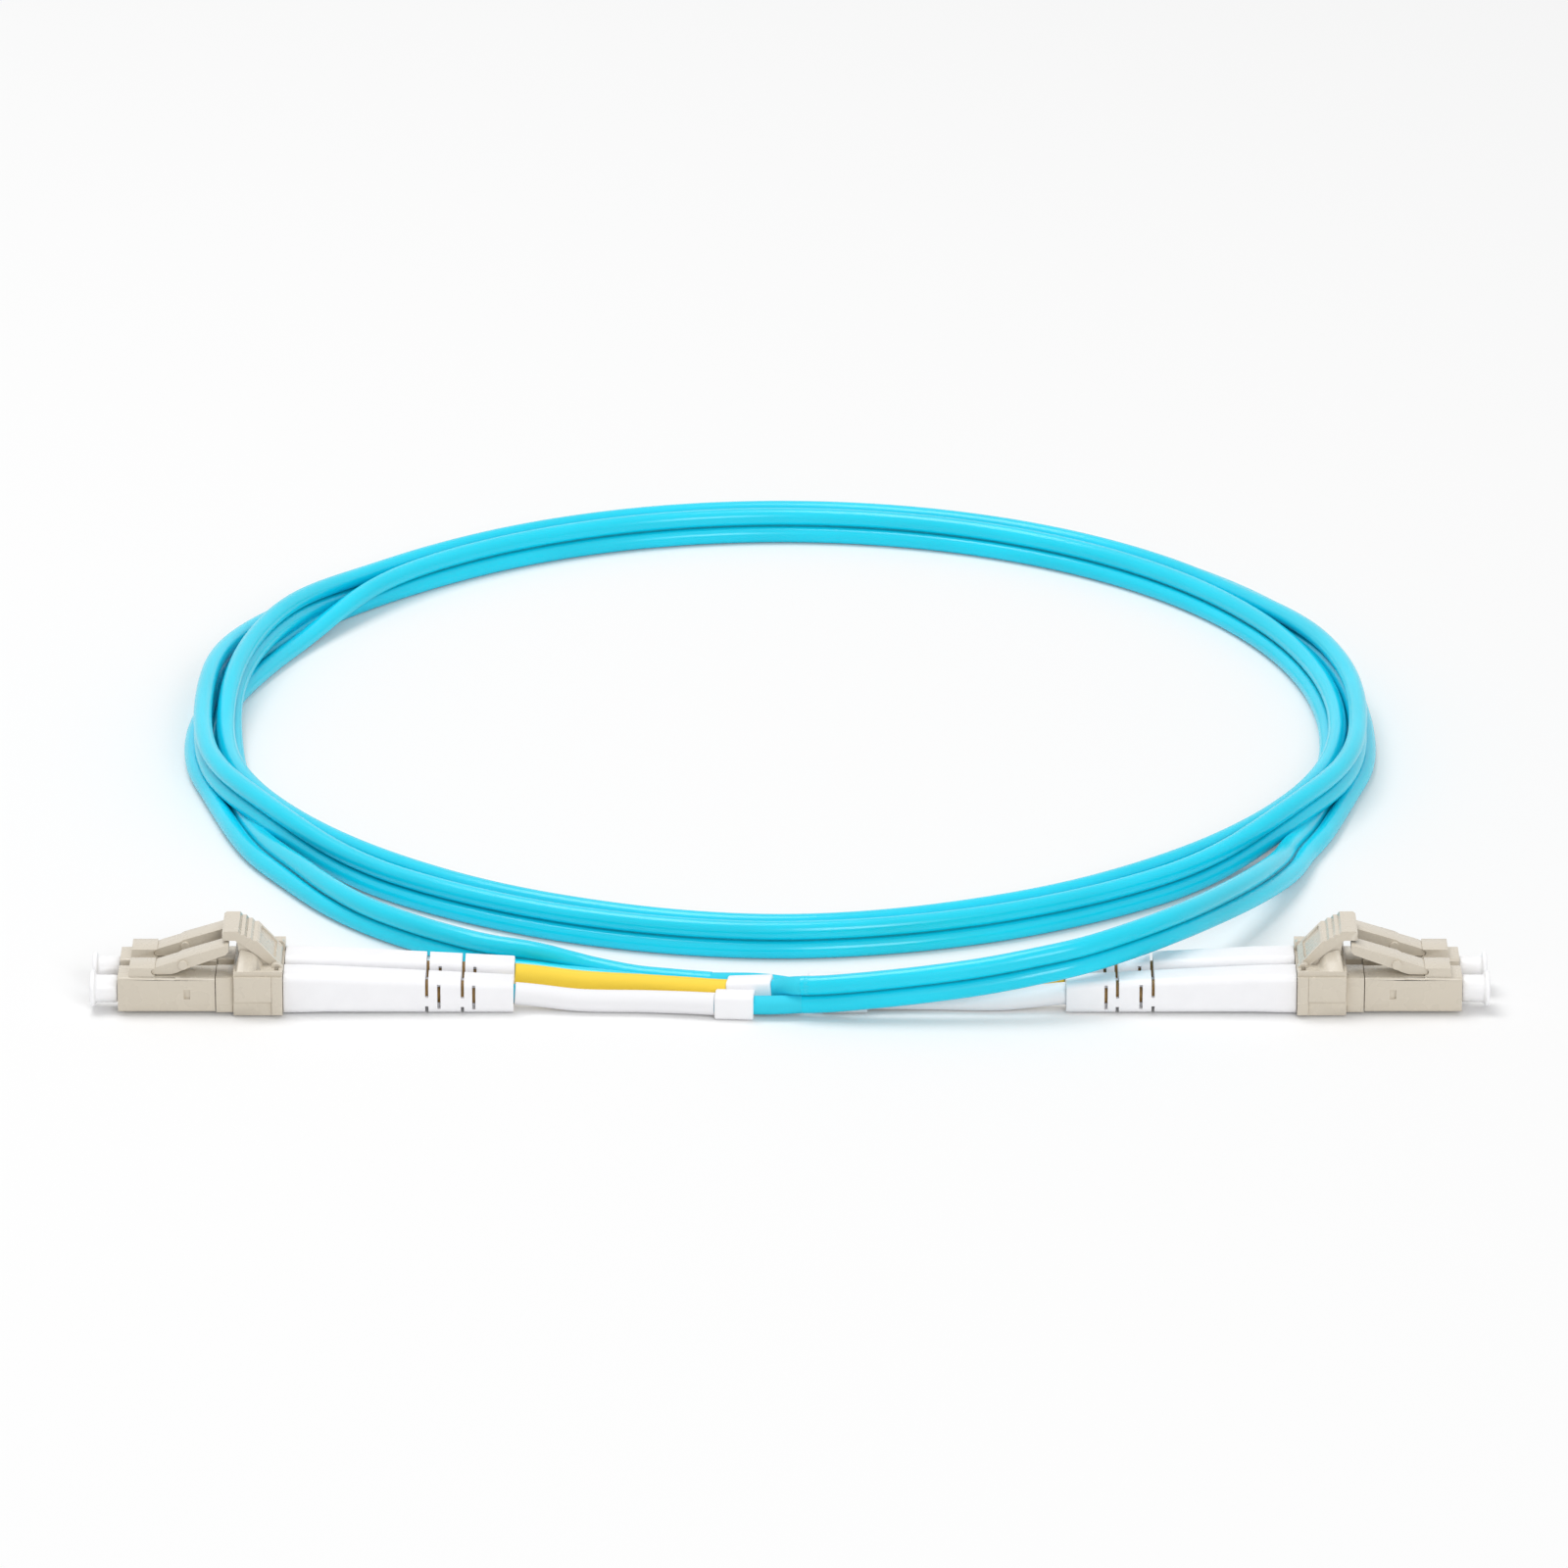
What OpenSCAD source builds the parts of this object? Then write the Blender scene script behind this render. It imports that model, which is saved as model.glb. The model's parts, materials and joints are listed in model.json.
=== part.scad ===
// Duplex fiber optic patch cord: two duplex LC plugs joined by an aqua zip cord,
// which lies wound in one flat coil behind the plugs. Millimetres. The origin is on the
// floor midway between the plugs, +X to the right, +Y towards the coil, +Z up.
// In each plug's own frame x runs from the housing's front face back to the cord.

/* [Plug housing] */
// Width and height of the square plug housing
body_w = 4.52; // [4.3:0.01:4.8]
// Distance between the two channels of a duplex plug
pitch = 6.25; // [6.2:0.01:6.6]
// Length of the housing from its front face to the rear body
housing_len = 12.0; // [11.8:0.1:14]
// Height of the ferrule axis above the floor
axis_z = 2.75; // [2.75:0.01:3]
// Radius of the cavity at the nose that takes an adapter's sleeve
nose_r = 1.55; // [1.5:0.01:1.6]
// Depth of the cavity at the nose
nose_depth = 4.0; // [3.6:0.1:4]

/* [Ferrule] */
// Diameter of the ceramic ferrule
ferrule_d = 1.25; // [1.2:0.01:1.25]
// How far the ferrule stands out of the housing's front face
ferrule_out = 2.2; // [1.8:0.1:2.4]
// Radius of the ferrule flange's collar
flange_r = 1.3; // [1.2:0.01:1.35]
// Radius of the ferrule flange's tail
tail_r = 0.75; // [0.7:0.01:0.8]
// How far the ferrule can be pushed back
ferrule_travel = 1.0; // [0.5:0.1:1.0]
// Radius of the ferrule spring at the middle of its wire
spring_r = 1.15; // [1.1:0.01:1.2]
// Diameter of the spring wire
wire_d = 0.3; // [0.2:0.01:0.3]
// Turns of the spring
spring_turns = 6; // [4:1:7]

/* [Latch arm] */
// Width of the latch arm
arm_w = 2.8; // [2.4:0.1:3.2]
// Thickness of the latch arm at its root
arm_t = 0.8; // [0.7:0.05:0.9]
// Thickness of the arm's finger paddle
paddle_t = 1.2; // [1:0.05:1.3]
// Width of the pad on the housing that carries the arm
pad_w = 3.7; // [3.4:0.1:3.9]
// Width across the two locking ears of the arm
ear_w = 3.9; // [3.6:0.1:4.4]
// Front slope of the latch arm in degrees
arm_slope = 21; // [19:0.5:22]
// Slope of the arm's finger paddle in degrees
paddle_slope = 17; // [15:0.5:18]

/* [Dust cap] */
// Outer diameter of the dust cap's closed barrel
cap_d = 3.4; // [3.2:0.05:3.6]
// Diameter of the dust cap's pull rim
cap_rim_d = 4.45; // [4:0.05:4.8]
// How far the dust cap stands out of the housing
cap_out = 3.5; // [3.2:0.1:5]
// Thickness of the dust cap's pull rim
cap_rim_t = 0.65; // [0.5:0.05:0.8]

/* [Duplex clip] */
// Length of the duplex clip
clip_len = 6.0; // [5.8:0.1:7]
// Wall of the clip beside each channel
clip_wall = 0.75; // [0.6:0.05:1]
// Height of the clip's top above the floor
clip_top = 6.05; // [5.9:0.05:6.3]
// Width of the trigger lever
trigger_w = 6.8; // [6:0.1:7]
// Height of the trigger's crest above the floor
trigger_top = 10.4; // [10.2:0.1:11]

/* [Boot] */
// Length of the strain relief boot
boot_len = 28.4; // [24:0.1:32]
// Width of the boot at the clip
boot_w1 = 5.1; // [4.8:0.1:5.3]
// Width of the boot at its tail
boot_w2 = 4.05; // [3.8:0.05:4.2]
// Width of the slots across the boot
boot_slot = 0.8; // [0.6:0.1:1]

/* [Cord] */
// Diameter of one jacket of the zip cord
jacket_d = 2.3; // [2:0.05:2.4]
// Outer diameter of the coloured leg sleeves
sleeve_d = 2.8; // [2.6:0.05:3]
// Side of the square marker sleeves
marker_w = 3.1; // [2.9:0.05:3.2]
// Diameter of the buffered fibre
fibre_d = 0.9; // [0.8:0.05:0.9]
// Half width of the coil at the middle lane
coil_rx = 74.1; // [73.5:0.1:76]
// Half depth of the coil at the middle lane
coil_ry = 78.3; // [78:0.1:80]
// Gap between neighbouring lanes of the coil
lane_gap = 0.5; // [0.45:0.05:0.6]

/* [Hidden] */
$fn = 48;
ENDS = ["left", "right"];
CHANNELS = ["back", "front"];

beige = [0.86, 0.82, 0.73];
aqua = [0.13, 0.78, 0.89];
snow = [0.95, 0.95, 0.96];
yellow = [0.97, 0.85, 0.24];
ceramic = [0.93, 0.93, 0.91];
steel = [0.72, 0.73, 0.75];
brass = [0.80, 0.63, 0.30];

// clearances
fit = 0.05;     // between pieces that are pressed or slid together
swing = 0.1;    // between pieces that move past each other
eps = 0.01;     // overrun of a cut past the face it leaves

// places along a plug, from its front face
front_x = 82.9;                               // front faces of the two ends from the origin
face_z = axis_z + body_w / 2;                 // top of the housing
edge = 0.35;                                  // bevel of the moulded square sections
root_x0 = 1.2;                                // pad that carries the arm
root_top = face_z + 1.14;
knuckle_r = arm_t / 2;                        // pivot roll at the root of the arm
knuckle_x = 4.6;                              // axis of that roll
knuckle_z = face_z + 0.6;
paddle_x = 7.5;                               // where the paddle starts
arm_end = 13.7;                               // tip of the arm
ear_x = 8.1;                                  // middle of its locking ears
web_t = 0.6;                                  // web behind the nose cavity
flange_x = nose_depth + web_t + fit;          // front of the ferrule flange's collar
flange_len = 1.5;
seat_len = 1.2;                               // ferrule pressed into the flange
spring_x0 = flange_x + flange_len + fit;
cavity_r = flange_r + 0.3;                    // spring cavity in the housing
spigot_len = 1.0;                             // rear body's spigot in the housing
spring_x1 = housing_len - spigot_len - fit;
tail_end = housing_len + 0.6;
collar_len = 2.3;                             // visible collar of the rear body
clip_x0 = housing_len + collar_len;
clip_x1 = clip_x0 + clip_len;
neck_w = 4.1;                                 // rear body inside the clip
post_r = 1.35;                                // rear body's crimp post
post_end = clip_x1 + 5.2;
boot_x0 = clip_x1 + swing;
boot_x1 = boot_x0 + boot_len;
ring_t = 0.25;                                // wall of the crimp ring
ring_len = 4.6;
jacket_x0 = post_end + swing;                 // jacket starts behind the post
fibre_x0 = flange_x + seat_len + ferrule_travel + 0.3;
slot_xs = [boot_x1 - 10.7, boot_x1 - 6.3];    // slots on top and under the boot
side_slot_xs = [boot_x1 - 9.2, boot_x1 - 4.9]; // slots on its two sides
slot_depth = 1.1;

// trigger lever and its hinge
pin_x = clip_x1 - 0.7;
pin_r = 0.35;
pin_z = clip_top - 0.3;
hub_r = 0.5;
deck_z = pin_z - hub_r - swing;               // clip's deck under the trigger
pocket_x = clip_x0 + 0.5;                     // front of the pocket that takes the trigger
lug_r = pin_r + 0.4;
lug_w = 1.0;
arm_half = arm_t / 2 / cos(arm_slope);        // half the arm's height where it slopes
top1 = knuckle_z + arm_half + (paddle_x - knuckle_x) * tan(arm_slope);
top2 = top1 + (arm_end - paddle_x) * tan(paddle_slope);
lip_z = top2 + 0.12;                          // underside of the trigger's lip
crest_x0 = arm_end - 0.6;
crest_x1 = crest_x0 + 1.8;

function end_sign(e) = e == "left" ? -1 : 1;
function side_y(c) = c == "back" ? pitch / 2 : -pitch / 2;

// ---- helpers ---------------------------------------------------------------

// square outline with bevelled corners, centred
module bevel_square(w, b) {
    h = w / 2;
    polygon([[h - b, -h], [h, -h + b], [h, h - b], [h - b, h],
             [b - h, h], [-h, h - b], [-h, b - h], [b - h, -h]]);
}

// bar of that section along x, its axis on the ferrule axis
module square_bar(w, b, x0, x1) {
    translate([x0, 0, axis_z]) rotate([90, 0, 90]) linear_extrude(x1 - x0) bevel_square(w, b);
}

// round bar along x on the ferrule axis
module round_bar(r, x0, x1) {
    translate([x0, 0, axis_z]) rotate([0, 90, 0]) cylinder(r = r, h = x1 - x0);
}

// side outline in x and z, extruded w wide across y
module side_plate(points, w) {
    translate([0, w / 2, 0]) rotate([90, 0, 0]) linear_extrude(w) polygon(points);
}

// carries a plug's own frame to its end of the cord
module at_end(e) {
    if (e == "left") translate([-front_x, 0, 0]) children();
    else rotate([0, 0, 180]) translate([-front_x, 0, 0]) children();
}

// the same for one channel
module at_channel(e, c) {
    at_end(e) translate([0, -end_sign(e) * side_y(c), 0]) children();
}

// ---- plug pieces, in the channel's own frame -------------------------------

module dust_cap() {
    bore_r = ferrule_d / 2 + fit;
    skirt_r = nose_r - 0.25;
    skirt_len = nose_depth - 0.8;
    round_r = 0.2;
    rim_r = cap_rim_d / 2;
    back = cap_rim_t - cap_out;
    color(snow) translate([0, 0, axis_z]) rotate([0, 90, 0]) rotate_extrude()
        polygon([
            [0, -cap_out], [rim_r - round_r, -cap_out], [rim_r, round_r - cap_out],
            [rim_r, back - round_r], [rim_r - round_r, back], [cap_d / 2, back],
            [cap_d / 2, -swing], [skirt_r, -swing], [skirt_r, skirt_len], [bore_r, skirt_len],
            [bore_r, -ferrule_out - 0.3], [0, -ferrule_out - 0.3]]);
}

module ferrule() {
    chamfer = 0.12;
    tip_z = -ferrule_out;
    color(ceramic) translate([0, 0, axis_z]) rotate([0, 90, 0]) rotate_extrude()
        polygon([
            [0, tip_z], [ferrule_d / 2 - chamfer, tip_z], [ferrule_d / 2, tip_z + 2 * chamfer],
            [ferrule_d / 2, flange_x + seat_len], [0, flange_x + seat_len]]);
}

module ferrule_flange() {
    fibre_r = fibre_d / 2 + swing;
    color(steel) difference() {
        union() {
            round_bar(flange_r, flange_x, flange_x + flange_len);
            round_bar(tail_r, flange_x + flange_len - eps, tail_end);
        }
        round_bar(ferrule_d / 2, flange_x - eps, flange_x + seat_len);
        round_bar(fibre_r, flange_x + seat_len - eps, tail_end + eps);
    }
}

// one unbroken wire wound about x
module ferrule_spring() {
    steps = 8 * spring_turns;
    sides = 6;
    rise = (spring_x1 - spring_x0 - wire_d) / steps;
    points = [for (i = [0:steps]) for (j = [0:sides - 1])
        let (a = 45 * i, b = 60 * j, r = spring_r + wire_d / 2 * cos(b))
        [spring_x0 + wire_d / 2 + rise * i + wire_d / 2 * sin(b), r * cos(a), axis_z + r * sin(a)]];
    color(steel) polyhedron(points, tube_faces(steps + 1, sides));
}

module plug_housing() {
    window_x = 8.1;
    window_l = 1.6;
    window_h = 1.3;
    color(beige) difference() {
        union() {
            square_bar(body_w, edge, 0, housing_len);
            side_plate([[root_x0, face_z - edge], [root_x0 + 0.3, root_top],
                        [knuckle_x, root_top], [knuckle_x, face_z - edge]], pad_w);
        }
        round_bar(nose_r, -eps, nose_depth);
        round_bar(ferrule_d / 2 + 0.2, 0, flange_x);
        round_bar(cavity_r, nose_depth + web_t, housing_len + eps);
        translate([knuckle_x, 0, knuckle_z]) rotate([90, 0, 0])
            cylinder(r = knuckle_r + fit, h = arm_w + 2, center = true);
        for (s = [-1, 1]) translate([window_x, s * body_w / 2, axis_z])
            cube([window_l, 0.5, window_h], center = true);
    }
}

module latch_arm() {
    ear_r = 0.55;
    color(beige) union() {
        translate([knuckle_x, 0, knuckle_z]) rotate([90, 0, 0])
            cylinder(r = knuckle_r, h = arm_w, center = true);
        side_plate([[knuckle_x, knuckle_z - arm_half], [paddle_x, top1 - 2 * arm_half],
                    [paddle_x + 0.4, top1 - 1.2 * paddle_t], [arm_end, top2 - paddle_t],
                    [arm_end + 0.1, top2 - paddle_t / 2], [arm_end, top2],
                    [paddle_x, top1], [knuckle_x, knuckle_z + arm_half]], arm_w);
        translate([ear_x, 0, top1 - paddle_t / 2]) rotate([90, 0, 0])
            cylinder(r = ear_r, h = ear_w, center = true);
    }
}

module rear_body() {
    color(beige) difference() {
        union() {
            round_bar(cavity_r - fit, housing_len - spigot_len, housing_len + eps);
            square_bar(body_w, edge, housing_len, clip_x0);
            square_bar(neck_w, edge, clip_x0 - eps, clip_x1);
            round_bar(post_r, clip_x1 - eps, post_end);
        }
        round_bar(tail_r + swing, housing_len - spigot_len - eps, tail_end + ferrule_travel + 0.3);
        round_bar(fibre_d / 2 + fit, housing_len, post_end + eps);
    }
}

module crimp_ring() {
    color(brass) difference() {
        round_bar(post_r + fit + ring_t, boot_x0 + 0.2, boot_x0 + 0.2 + ring_len);
        round_bar(post_r + fit, boot_x0, boot_x0 + 0.4 + ring_len);
    }
}

module buffered_fibre() {
    color(snow) round_bar(fibre_d / 2, fibre_x0, jacket_x0);
}

module boot() {
    inner_r = post_r + ring_t + 3 * fit;
    soft = 1.1;
    color(snow) difference() {
        hull() {
            square_bar(boot_w1, soft, boot_x0, boot_x0 + 1);
            square_bar(boot_w2, soft, boot_x1 - 1, boot_x1);
        }
        round_bar(inner_r, boot_x0 - eps, jacket_x0);
        round_bar(jacket_d / 2 + fit, boot_x0, boot_x1 + eps);
        for (x = slot_xs) for (s = [-1, 1])
            translate([x, 0, axis_z + s * boot_w2 / 2])
                cube([boot_slot, boot_w2, slot_depth], center = true);
        for (x = side_slot_xs) for (s = [-1, 1])
            translate([x, s * boot_w2 / 2, axis_z])
                cube([boot_slot, slot_depth, boot_w2], center = true);
    }
}

// ---- duplex clip and trigger, in the end's own frame -----------------------

module duplex_clip() {
    half_w = pitch / 2 + body_w / 2 + clip_wall;
    lug_y = trigger_w / 2 + swing;
    panel = 0.25;
    color(beige) difference() {
        union() {
            translate([clip_x0, 0, 0]) rotate([90, 0, 90]) linear_extrude(clip_len)
                polygon([[edge - half_w, 0], [half_w - edge, 0], [half_w, edge],
                         [half_w, clip_top - 2 * edge], [half_w - 2 * edge, clip_top],
                         [2 * edge - half_w, clip_top], [-half_w, clip_top - 2 * edge],
                         [-half_w, edge]]);
            for (s = [-1, 1]) translate([pin_x, s * (lug_y + lug_w / 2), pin_z])
                rotate([90, 0, 0]) cylinder(r = lug_r, h = lug_w, center = true);
            for (s = [-1, 1]) translate([clip_x0 + 0.2, s * half_w - panel, axis_z])
                cube([clip_len * 0.72, 2 * panel, clip_top / 2 - edge]);
        }
        translate([pocket_x, -lug_y, deck_z]) cube([clip_len, 2 * lug_y, clip_top]);
        for (s = [-1, 1]) translate([0, s * pitch / 2, 0])
            square_bar(neck_w + 2 * fit, edge, clip_x0 - eps, clip_x1 + eps);
        translate([pin_x, 0, pin_z]) rotate([90, 0, 0])
            cylinder(r = pin_r + fit, h = trigger_w + 4, center = true);
    }
}

module trigger() {
    slab = 1.3;                                     // thickness of the lever
    step = 0.42;                                    // drop of each rib
    rib_l = 0.75;
    bead = 0.15;                                    // slope of each rib's edge
    foot = hub_r * 0.7;
    cheek_t = 1.1;                                  // the two side cheeks under the lever
    cheek_x = pocket_x + 3 * swing;
    z1 = trigger_top - 3 * step;
    x1 = crest_x1 + 3 * rib_l;
    color(beige) union() {
        side_plate([
            [crest_x0 - 0.2, lip_z], [crest_x0 - 0.2, trigger_top - 2 * bead],
            [crest_x0 + bead, trigger_top], [crest_x1, trigger_top],
            [crest_x1 + bead, trigger_top - step], [crest_x1 + rib_l, trigger_top - step],
            [crest_x1 + rib_l + bead, trigger_top - 2 * step],
            [crest_x1 + 2 * rib_l, trigger_top - 2 * step],
            [crest_x1 + 2 * rib_l + bead, z1], [x1, z1],
            [pin_x + foot, pin_z + foot], [pin_x - foot, pin_z - foot],
            [x1 - slab, z1 - slab * 0.8], [crest_x1 + bead, lip_z]], trigger_w);
        for (s = [-1, 1]) translate([0, s * (trigger_w - cheek_t) / 2, 0])
            side_plate([[crest_x1 - bead, lip_z + eps], [cheek_x, clip_top],
                        [cheek_x + bead, clip_top - bead], [pin_x, clip_top - bead],
                        [x1, z1 - slab / 2]], cheek_t);
        translate([pin_x, 0, pin_z]) rotate([90, 0, 0])
            cylinder(r = hub_r, h = trigger_w, center = true);
        translate([pin_x, 0, pin_z]) rotate([90, 0, 0])
            cylinder(r = pin_r, h = trigger_w + 2 * lug_w, center = true);
    }
}

// ---- sweeps ----------------------------------------------------------------

// triangles of a closed tube of n rings of m points, both ends capped
function tube_faces(n, m) = concat(
    [for (i = [0:n - 2]) for (j = [0:m - 1])
        let (a = i * m + j, b = i * m + (j + 1) % m) each [[a, b, b + m], [a, b + m, a + m]]],
    [for (j = [1:m - 2]) [0, j + 1, j]],
    [for (j = [1:m - 2]) let (k = (n - 1) * m) [k, k + j, k + j + 1]]);

// triangles of a hollow tube: n outer rings of m points, then as many inner ones
function pipe_faces(n, m) = concat(
    [for (i = [0:n - 2]) for (j = [0:m - 1])
        let (a = i * m + j, b = i * m + (j + 1) % m) each [[a, b, b + m], [a, b + m, a + m]]],
    [for (i = [0:n - 2]) for (j = [0:m - 1])
        let (a = (n + i) * m + j, b = (n + i) * m + (j + 1) % m)
            each [[a, b + m, b], [a, a + m, b + m]]],
    [for (j = [0:m - 1])
        let (a = j, b = (j + 1) % m, c = n * m) each [[a, b + c, b], [a, a + c, b + c]]],
    [for (j = [0:m - 1])
        let (k = (n - 1) * m, a = k + j, b = k + (j + 1) % m, c = n * m)
            each [[a, b, b + c], [a, b + c, a + c]]]);

function unit(v) = v / norm(v);
function flat3(p) = [p[0], p[1], p[2]];
function heading(path, i) = unit(
    flat3(path[min(i + 1, len(path) - 1)]) - flat3(path[max(i - 1, 0)]));
// section point s (across, up) turned by roll about the heading t at point p
function place(p, t, s, roll) =
    let (across = unit(cross([0, 0, 1], t)), up = cross(t, across),
         u = s[0] * cos(roll) + s[1] * sin(roll), v = s[1] * cos(roll) - s[0] * sin(roll))
    p + u * across + v * up;
function roll_of(p) = len(p) > 3 ? p[3] : 0;
function rings(path, section, i0 = 0, i1 = undef) = [
    for (i = [i0:is_undef(i1) ? len(path) - 1 : i1]) for (s = section)
        place(flat3(path[i]), heading(path, i), s, roll_of(path[i]))];

function round_section(r, m) = [for (j = [0:m - 1]) let (a = 360 / m * (j + 0.5)) r * [cos(a), sin(a)]];
// the two joined jackets, one above the other
jacket_r = jacket_d / 2;
zip_section = [for (j = [0:7]) let (a = 45 * (j + 0.5))
    jacket_r * [cos(a), sin(a) + sign(sin(a))]];
coil_section = jacket_r * [[1, -1], [1, 1], [0, 2], [-1, 1], [-1, -1], [0, -2]];

// ---- cord routes: x, y, z and, on the zip cord, roll (0 on edge, 90 flat) ---

near_front = [
    [-26, -3.3, 2.5], [-18, -4.1, 2.0], [-12.5, -5.0, 1.7], [-9.5, -5.5, 1.6],
    [-4.1, -5.9, 1.6], [-2.4, -5.95, 1.65], [-0.4, -5.95, 1.75], [1.5, -5.95, 1.9]];
near_back = [
    [-26, 2.6, 2.6], [-18, 1.0, 2.9], [-12.5, -0.9, 3.3], [-7.7, -2.5, 3.6],
    [-2.4, -3.0, 3.95], [-1.3, -3.6, 4.1], [-0.2, -4.8, 4.2], [0.6, -5.6, 4.2],
    [1.5, -5.95, 4.2]];
far_front = [
    [26, -3.1, 2.5], [18, -3.0, 2.0], [13, -3.1, 1.7], [9.6, -3.3, 1.6],
    [4.2, -3.5, 1.6], [2.4, -2.9, 1.4], [0, -1.2, 1.2], [-2.4, 0.8, 1.2],
    [-4.6, 1.5, 1.15], [-7.4, 1.8, 1.15], [-10, 2.1, 1.15]];
far_back = [
    [26, 2.9, 2.5], [18, 2.4, 2.0], [12, 2.0, 1.7], [7.5, 1.9, 1.6],
    [2.1, 2.1, 1.6], [0.4, 2.5, 1.4], [-2, 3.4, 1.2], [-4.6, 3.9, 1.15],
    [-7.4, 4.1, 1.15], [-10, 4.4, 1.15]];
// a leg's route: from the stripped end in its boot, out of the boot, then its points
function leg_points(e, c) = e == "left" ? (c == "back" ? near_back : near_front)
    : (c == "back" ? far_back : far_front);
function leg_path(e, c) = concat(
    [for (x = [jacket_x0, boot_x1 + fit, boot_x1 + 3])
        [end_sign(e) * (front_x - x), side_y(c), axis_z]], leg_points(e, c));
sleeve_i = [1, 6];             // the sleeve's first and last point in that route
marker_i = [6, 7];             // the marker's two ends

lead_left = [
    [1.5, -5.95, 3.05, 0], [4, -6.3, 3.25, 0], [7, -6.6, 3.6, 0], [12, -6.6, 4.1, 0],
    [18, -6.5, 4.8, 0], [24, -6.2, 5.6, 0], [30, -5.6, 6.6, 0], [36, -4.0, 7.4, 0], [42, 0, 7.8, 0],
    [48, 6.4, 7.6, 0], [54, 16.5, 6.4, 0], [59.4, 28, 5.0, 0], [63.6, 39, 3.4, 0],
    [66.6, 50.5, 2.4, 0], [69, 59.2, 2.3, 0]];
lead_right = [
    [-74.6, 59.3, 1.15, 90], [-71.5, 53.5, 1.3, 75], [-67.5, 45.6, 1.9, 40],
    [-63, 37.4, 2.3, 8], [-57.9, 28.9, 2.3, 0], [-52.7, 22.2, 2.3, 5], [-47.6, 17, 2.2, 22],
    [-42.6, 13.2, 1.95, 45], [-37.6, 10.7, 1.6, 66], [-32, 8.8, 1.3, 82], [-26, 7.1, 1.15, 90],
    [-20, 5.6, 1.15, 90], [-15, 4.3, 1.15, 90], [-10, 3.25, 1.15, 90]];

// ---- coil: one unbroken zip cord, t runs in degrees from the right side back -

lane = jacket_d + lane_gap;
coil_c = [-1.2, 93.3];
coil_t0 = -15;
coil_t1 = 915;
ring_deg = 15;                 // 24 rings to a loop
under_h = jacket_d + lane_gap; // rise of the lanes over the cord that passes beneath
cross_t0 = 885;                // where the last turn starts and ends its way beneath them
cross_t1 = 920;
hump_t = [183, 543];           // middles of the two turns' rise over it

function ease(x) = let (k = max(0, min(1, x))) k * k * (3 - 2 * k);
function ramp(t, a, b) = ease((t - a) / (b - a));
function crossed(t) = ramp(t, cross_t0, cross_t1);
// how flat the cord lies: at the back of the first turn, and where it passes beneath
function flatness(t) = ramp(t, 20, 50) - ramp(t, 120, 150) + ramp(t, 850, 865);
// distance outwards from the middle lane
function lane_off(t) =
    lane * (1 - ramp(t, 215, 260) - ramp(t, 575, 620) + 3 * crossed(t))
    + jacket_r * flatness(t) * (t < 450 ? 1 : 2 * crossed(t) - 1);
// rise of the first two turns over the last
function hump(t) = under_h * (1 - ramp(min([for (m = hump_t) abs(t - m)]), 18, 42));
function coil_point(t) =
    let (n = unit([cos(t) / coil_rx, sin(t) / coil_ry]), roll = 90 * flatness(t))
    [coil_c[0] + coil_rx * cos(t) + lane_off(t) * n[0],
     coil_c[1] + coil_ry * sin(t) + lane_off(t) * n[1],
     jacket_r * (1 + cos(roll)) + hump(t), roll];
// a straight end of one cord's width, in line with the lead that it joins
function straight_end(at, next) = let (d = 2 * jacket_d * unit(flat3(at) - flat3(next)))
    [at[0] + d[0], at[1] + d[1], at[2], at[3]];

lead_end = len(lead_left) - 1;
coil_path = concat(
    [lead_left[lead_end], straight_end(lead_left[lead_end], lead_left[lead_end - 1])],
    [for (t = [coil_t0:ring_deg:coil_t1]) coil_point(t)],
    [straight_end(lead_right[0], lead_right[1]), lead_right[0]]);

// least distance between the section points of rings that are not neighbours
function least_gap(path, section) =
    let (pts = rings(path, section), m = len(section), far = 18 * m)
    min([for (i = [0:len(pts) - far - 1]) for (j = [i + far:len(pts) - 1])
        norm(pts[i] - pts[j])]);

module zip_tube(path, section) {
    color(aqua) polyhedron(rings(path, section), tube_faces(len(path), len(section)));
}

module zip_coil() {
    zip_tube(coil_path, coil_section);
    echo(least_gap_of_the_coil = least_gap(coil_path, coil_section));
}

module leg_jacket(e, c) {
    path = leg_path(e, c);
    section = round_section(jacket_r, 8);
    color(aqua) polyhedron(rings(path, section), tube_faces(len(path), 8));
}

module leg_sleeve(e, c) {
    path = leg_path(e, c);
    outer = rings(path, round_section(sleeve_d / 2, 8), sleeve_i[0], sleeve_i[1]);
    inner = rings(path, round_section(jacket_r + fit, 8), sleeve_i[0], sleeve_i[1]);
    color(c == "back" ? yellow : snow)
        polyhedron(concat(outer, inner), pipe_faces(sleeve_i[1] - sleeve_i[0] + 1, 8));
}

module id_marker(e, c) {
    path = leg_path(e, c);
    a = path[marker_i[0]];
    b = path[marker_i[1]];
    d = b - a;
    inset = 0.3;
    len = norm(d) - 2 * inset;
    color(snow) translate(a) rotate([0, -atan2(d[2], norm([d[0], d[1]])), atan2(d[1], d[0])])
        rotate([90, 0, 90]) translate([0, 0, inset]) difference() {
            linear_extrude(len) bevel_square(marker_w, 2 * edge);
            translate([0, 0, -eps]) cylinder(r = jacket_r + 2 * fit, h = len + 2 * eps);
        }
}

// ---- drawing ---------------------------------------------------------------

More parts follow.
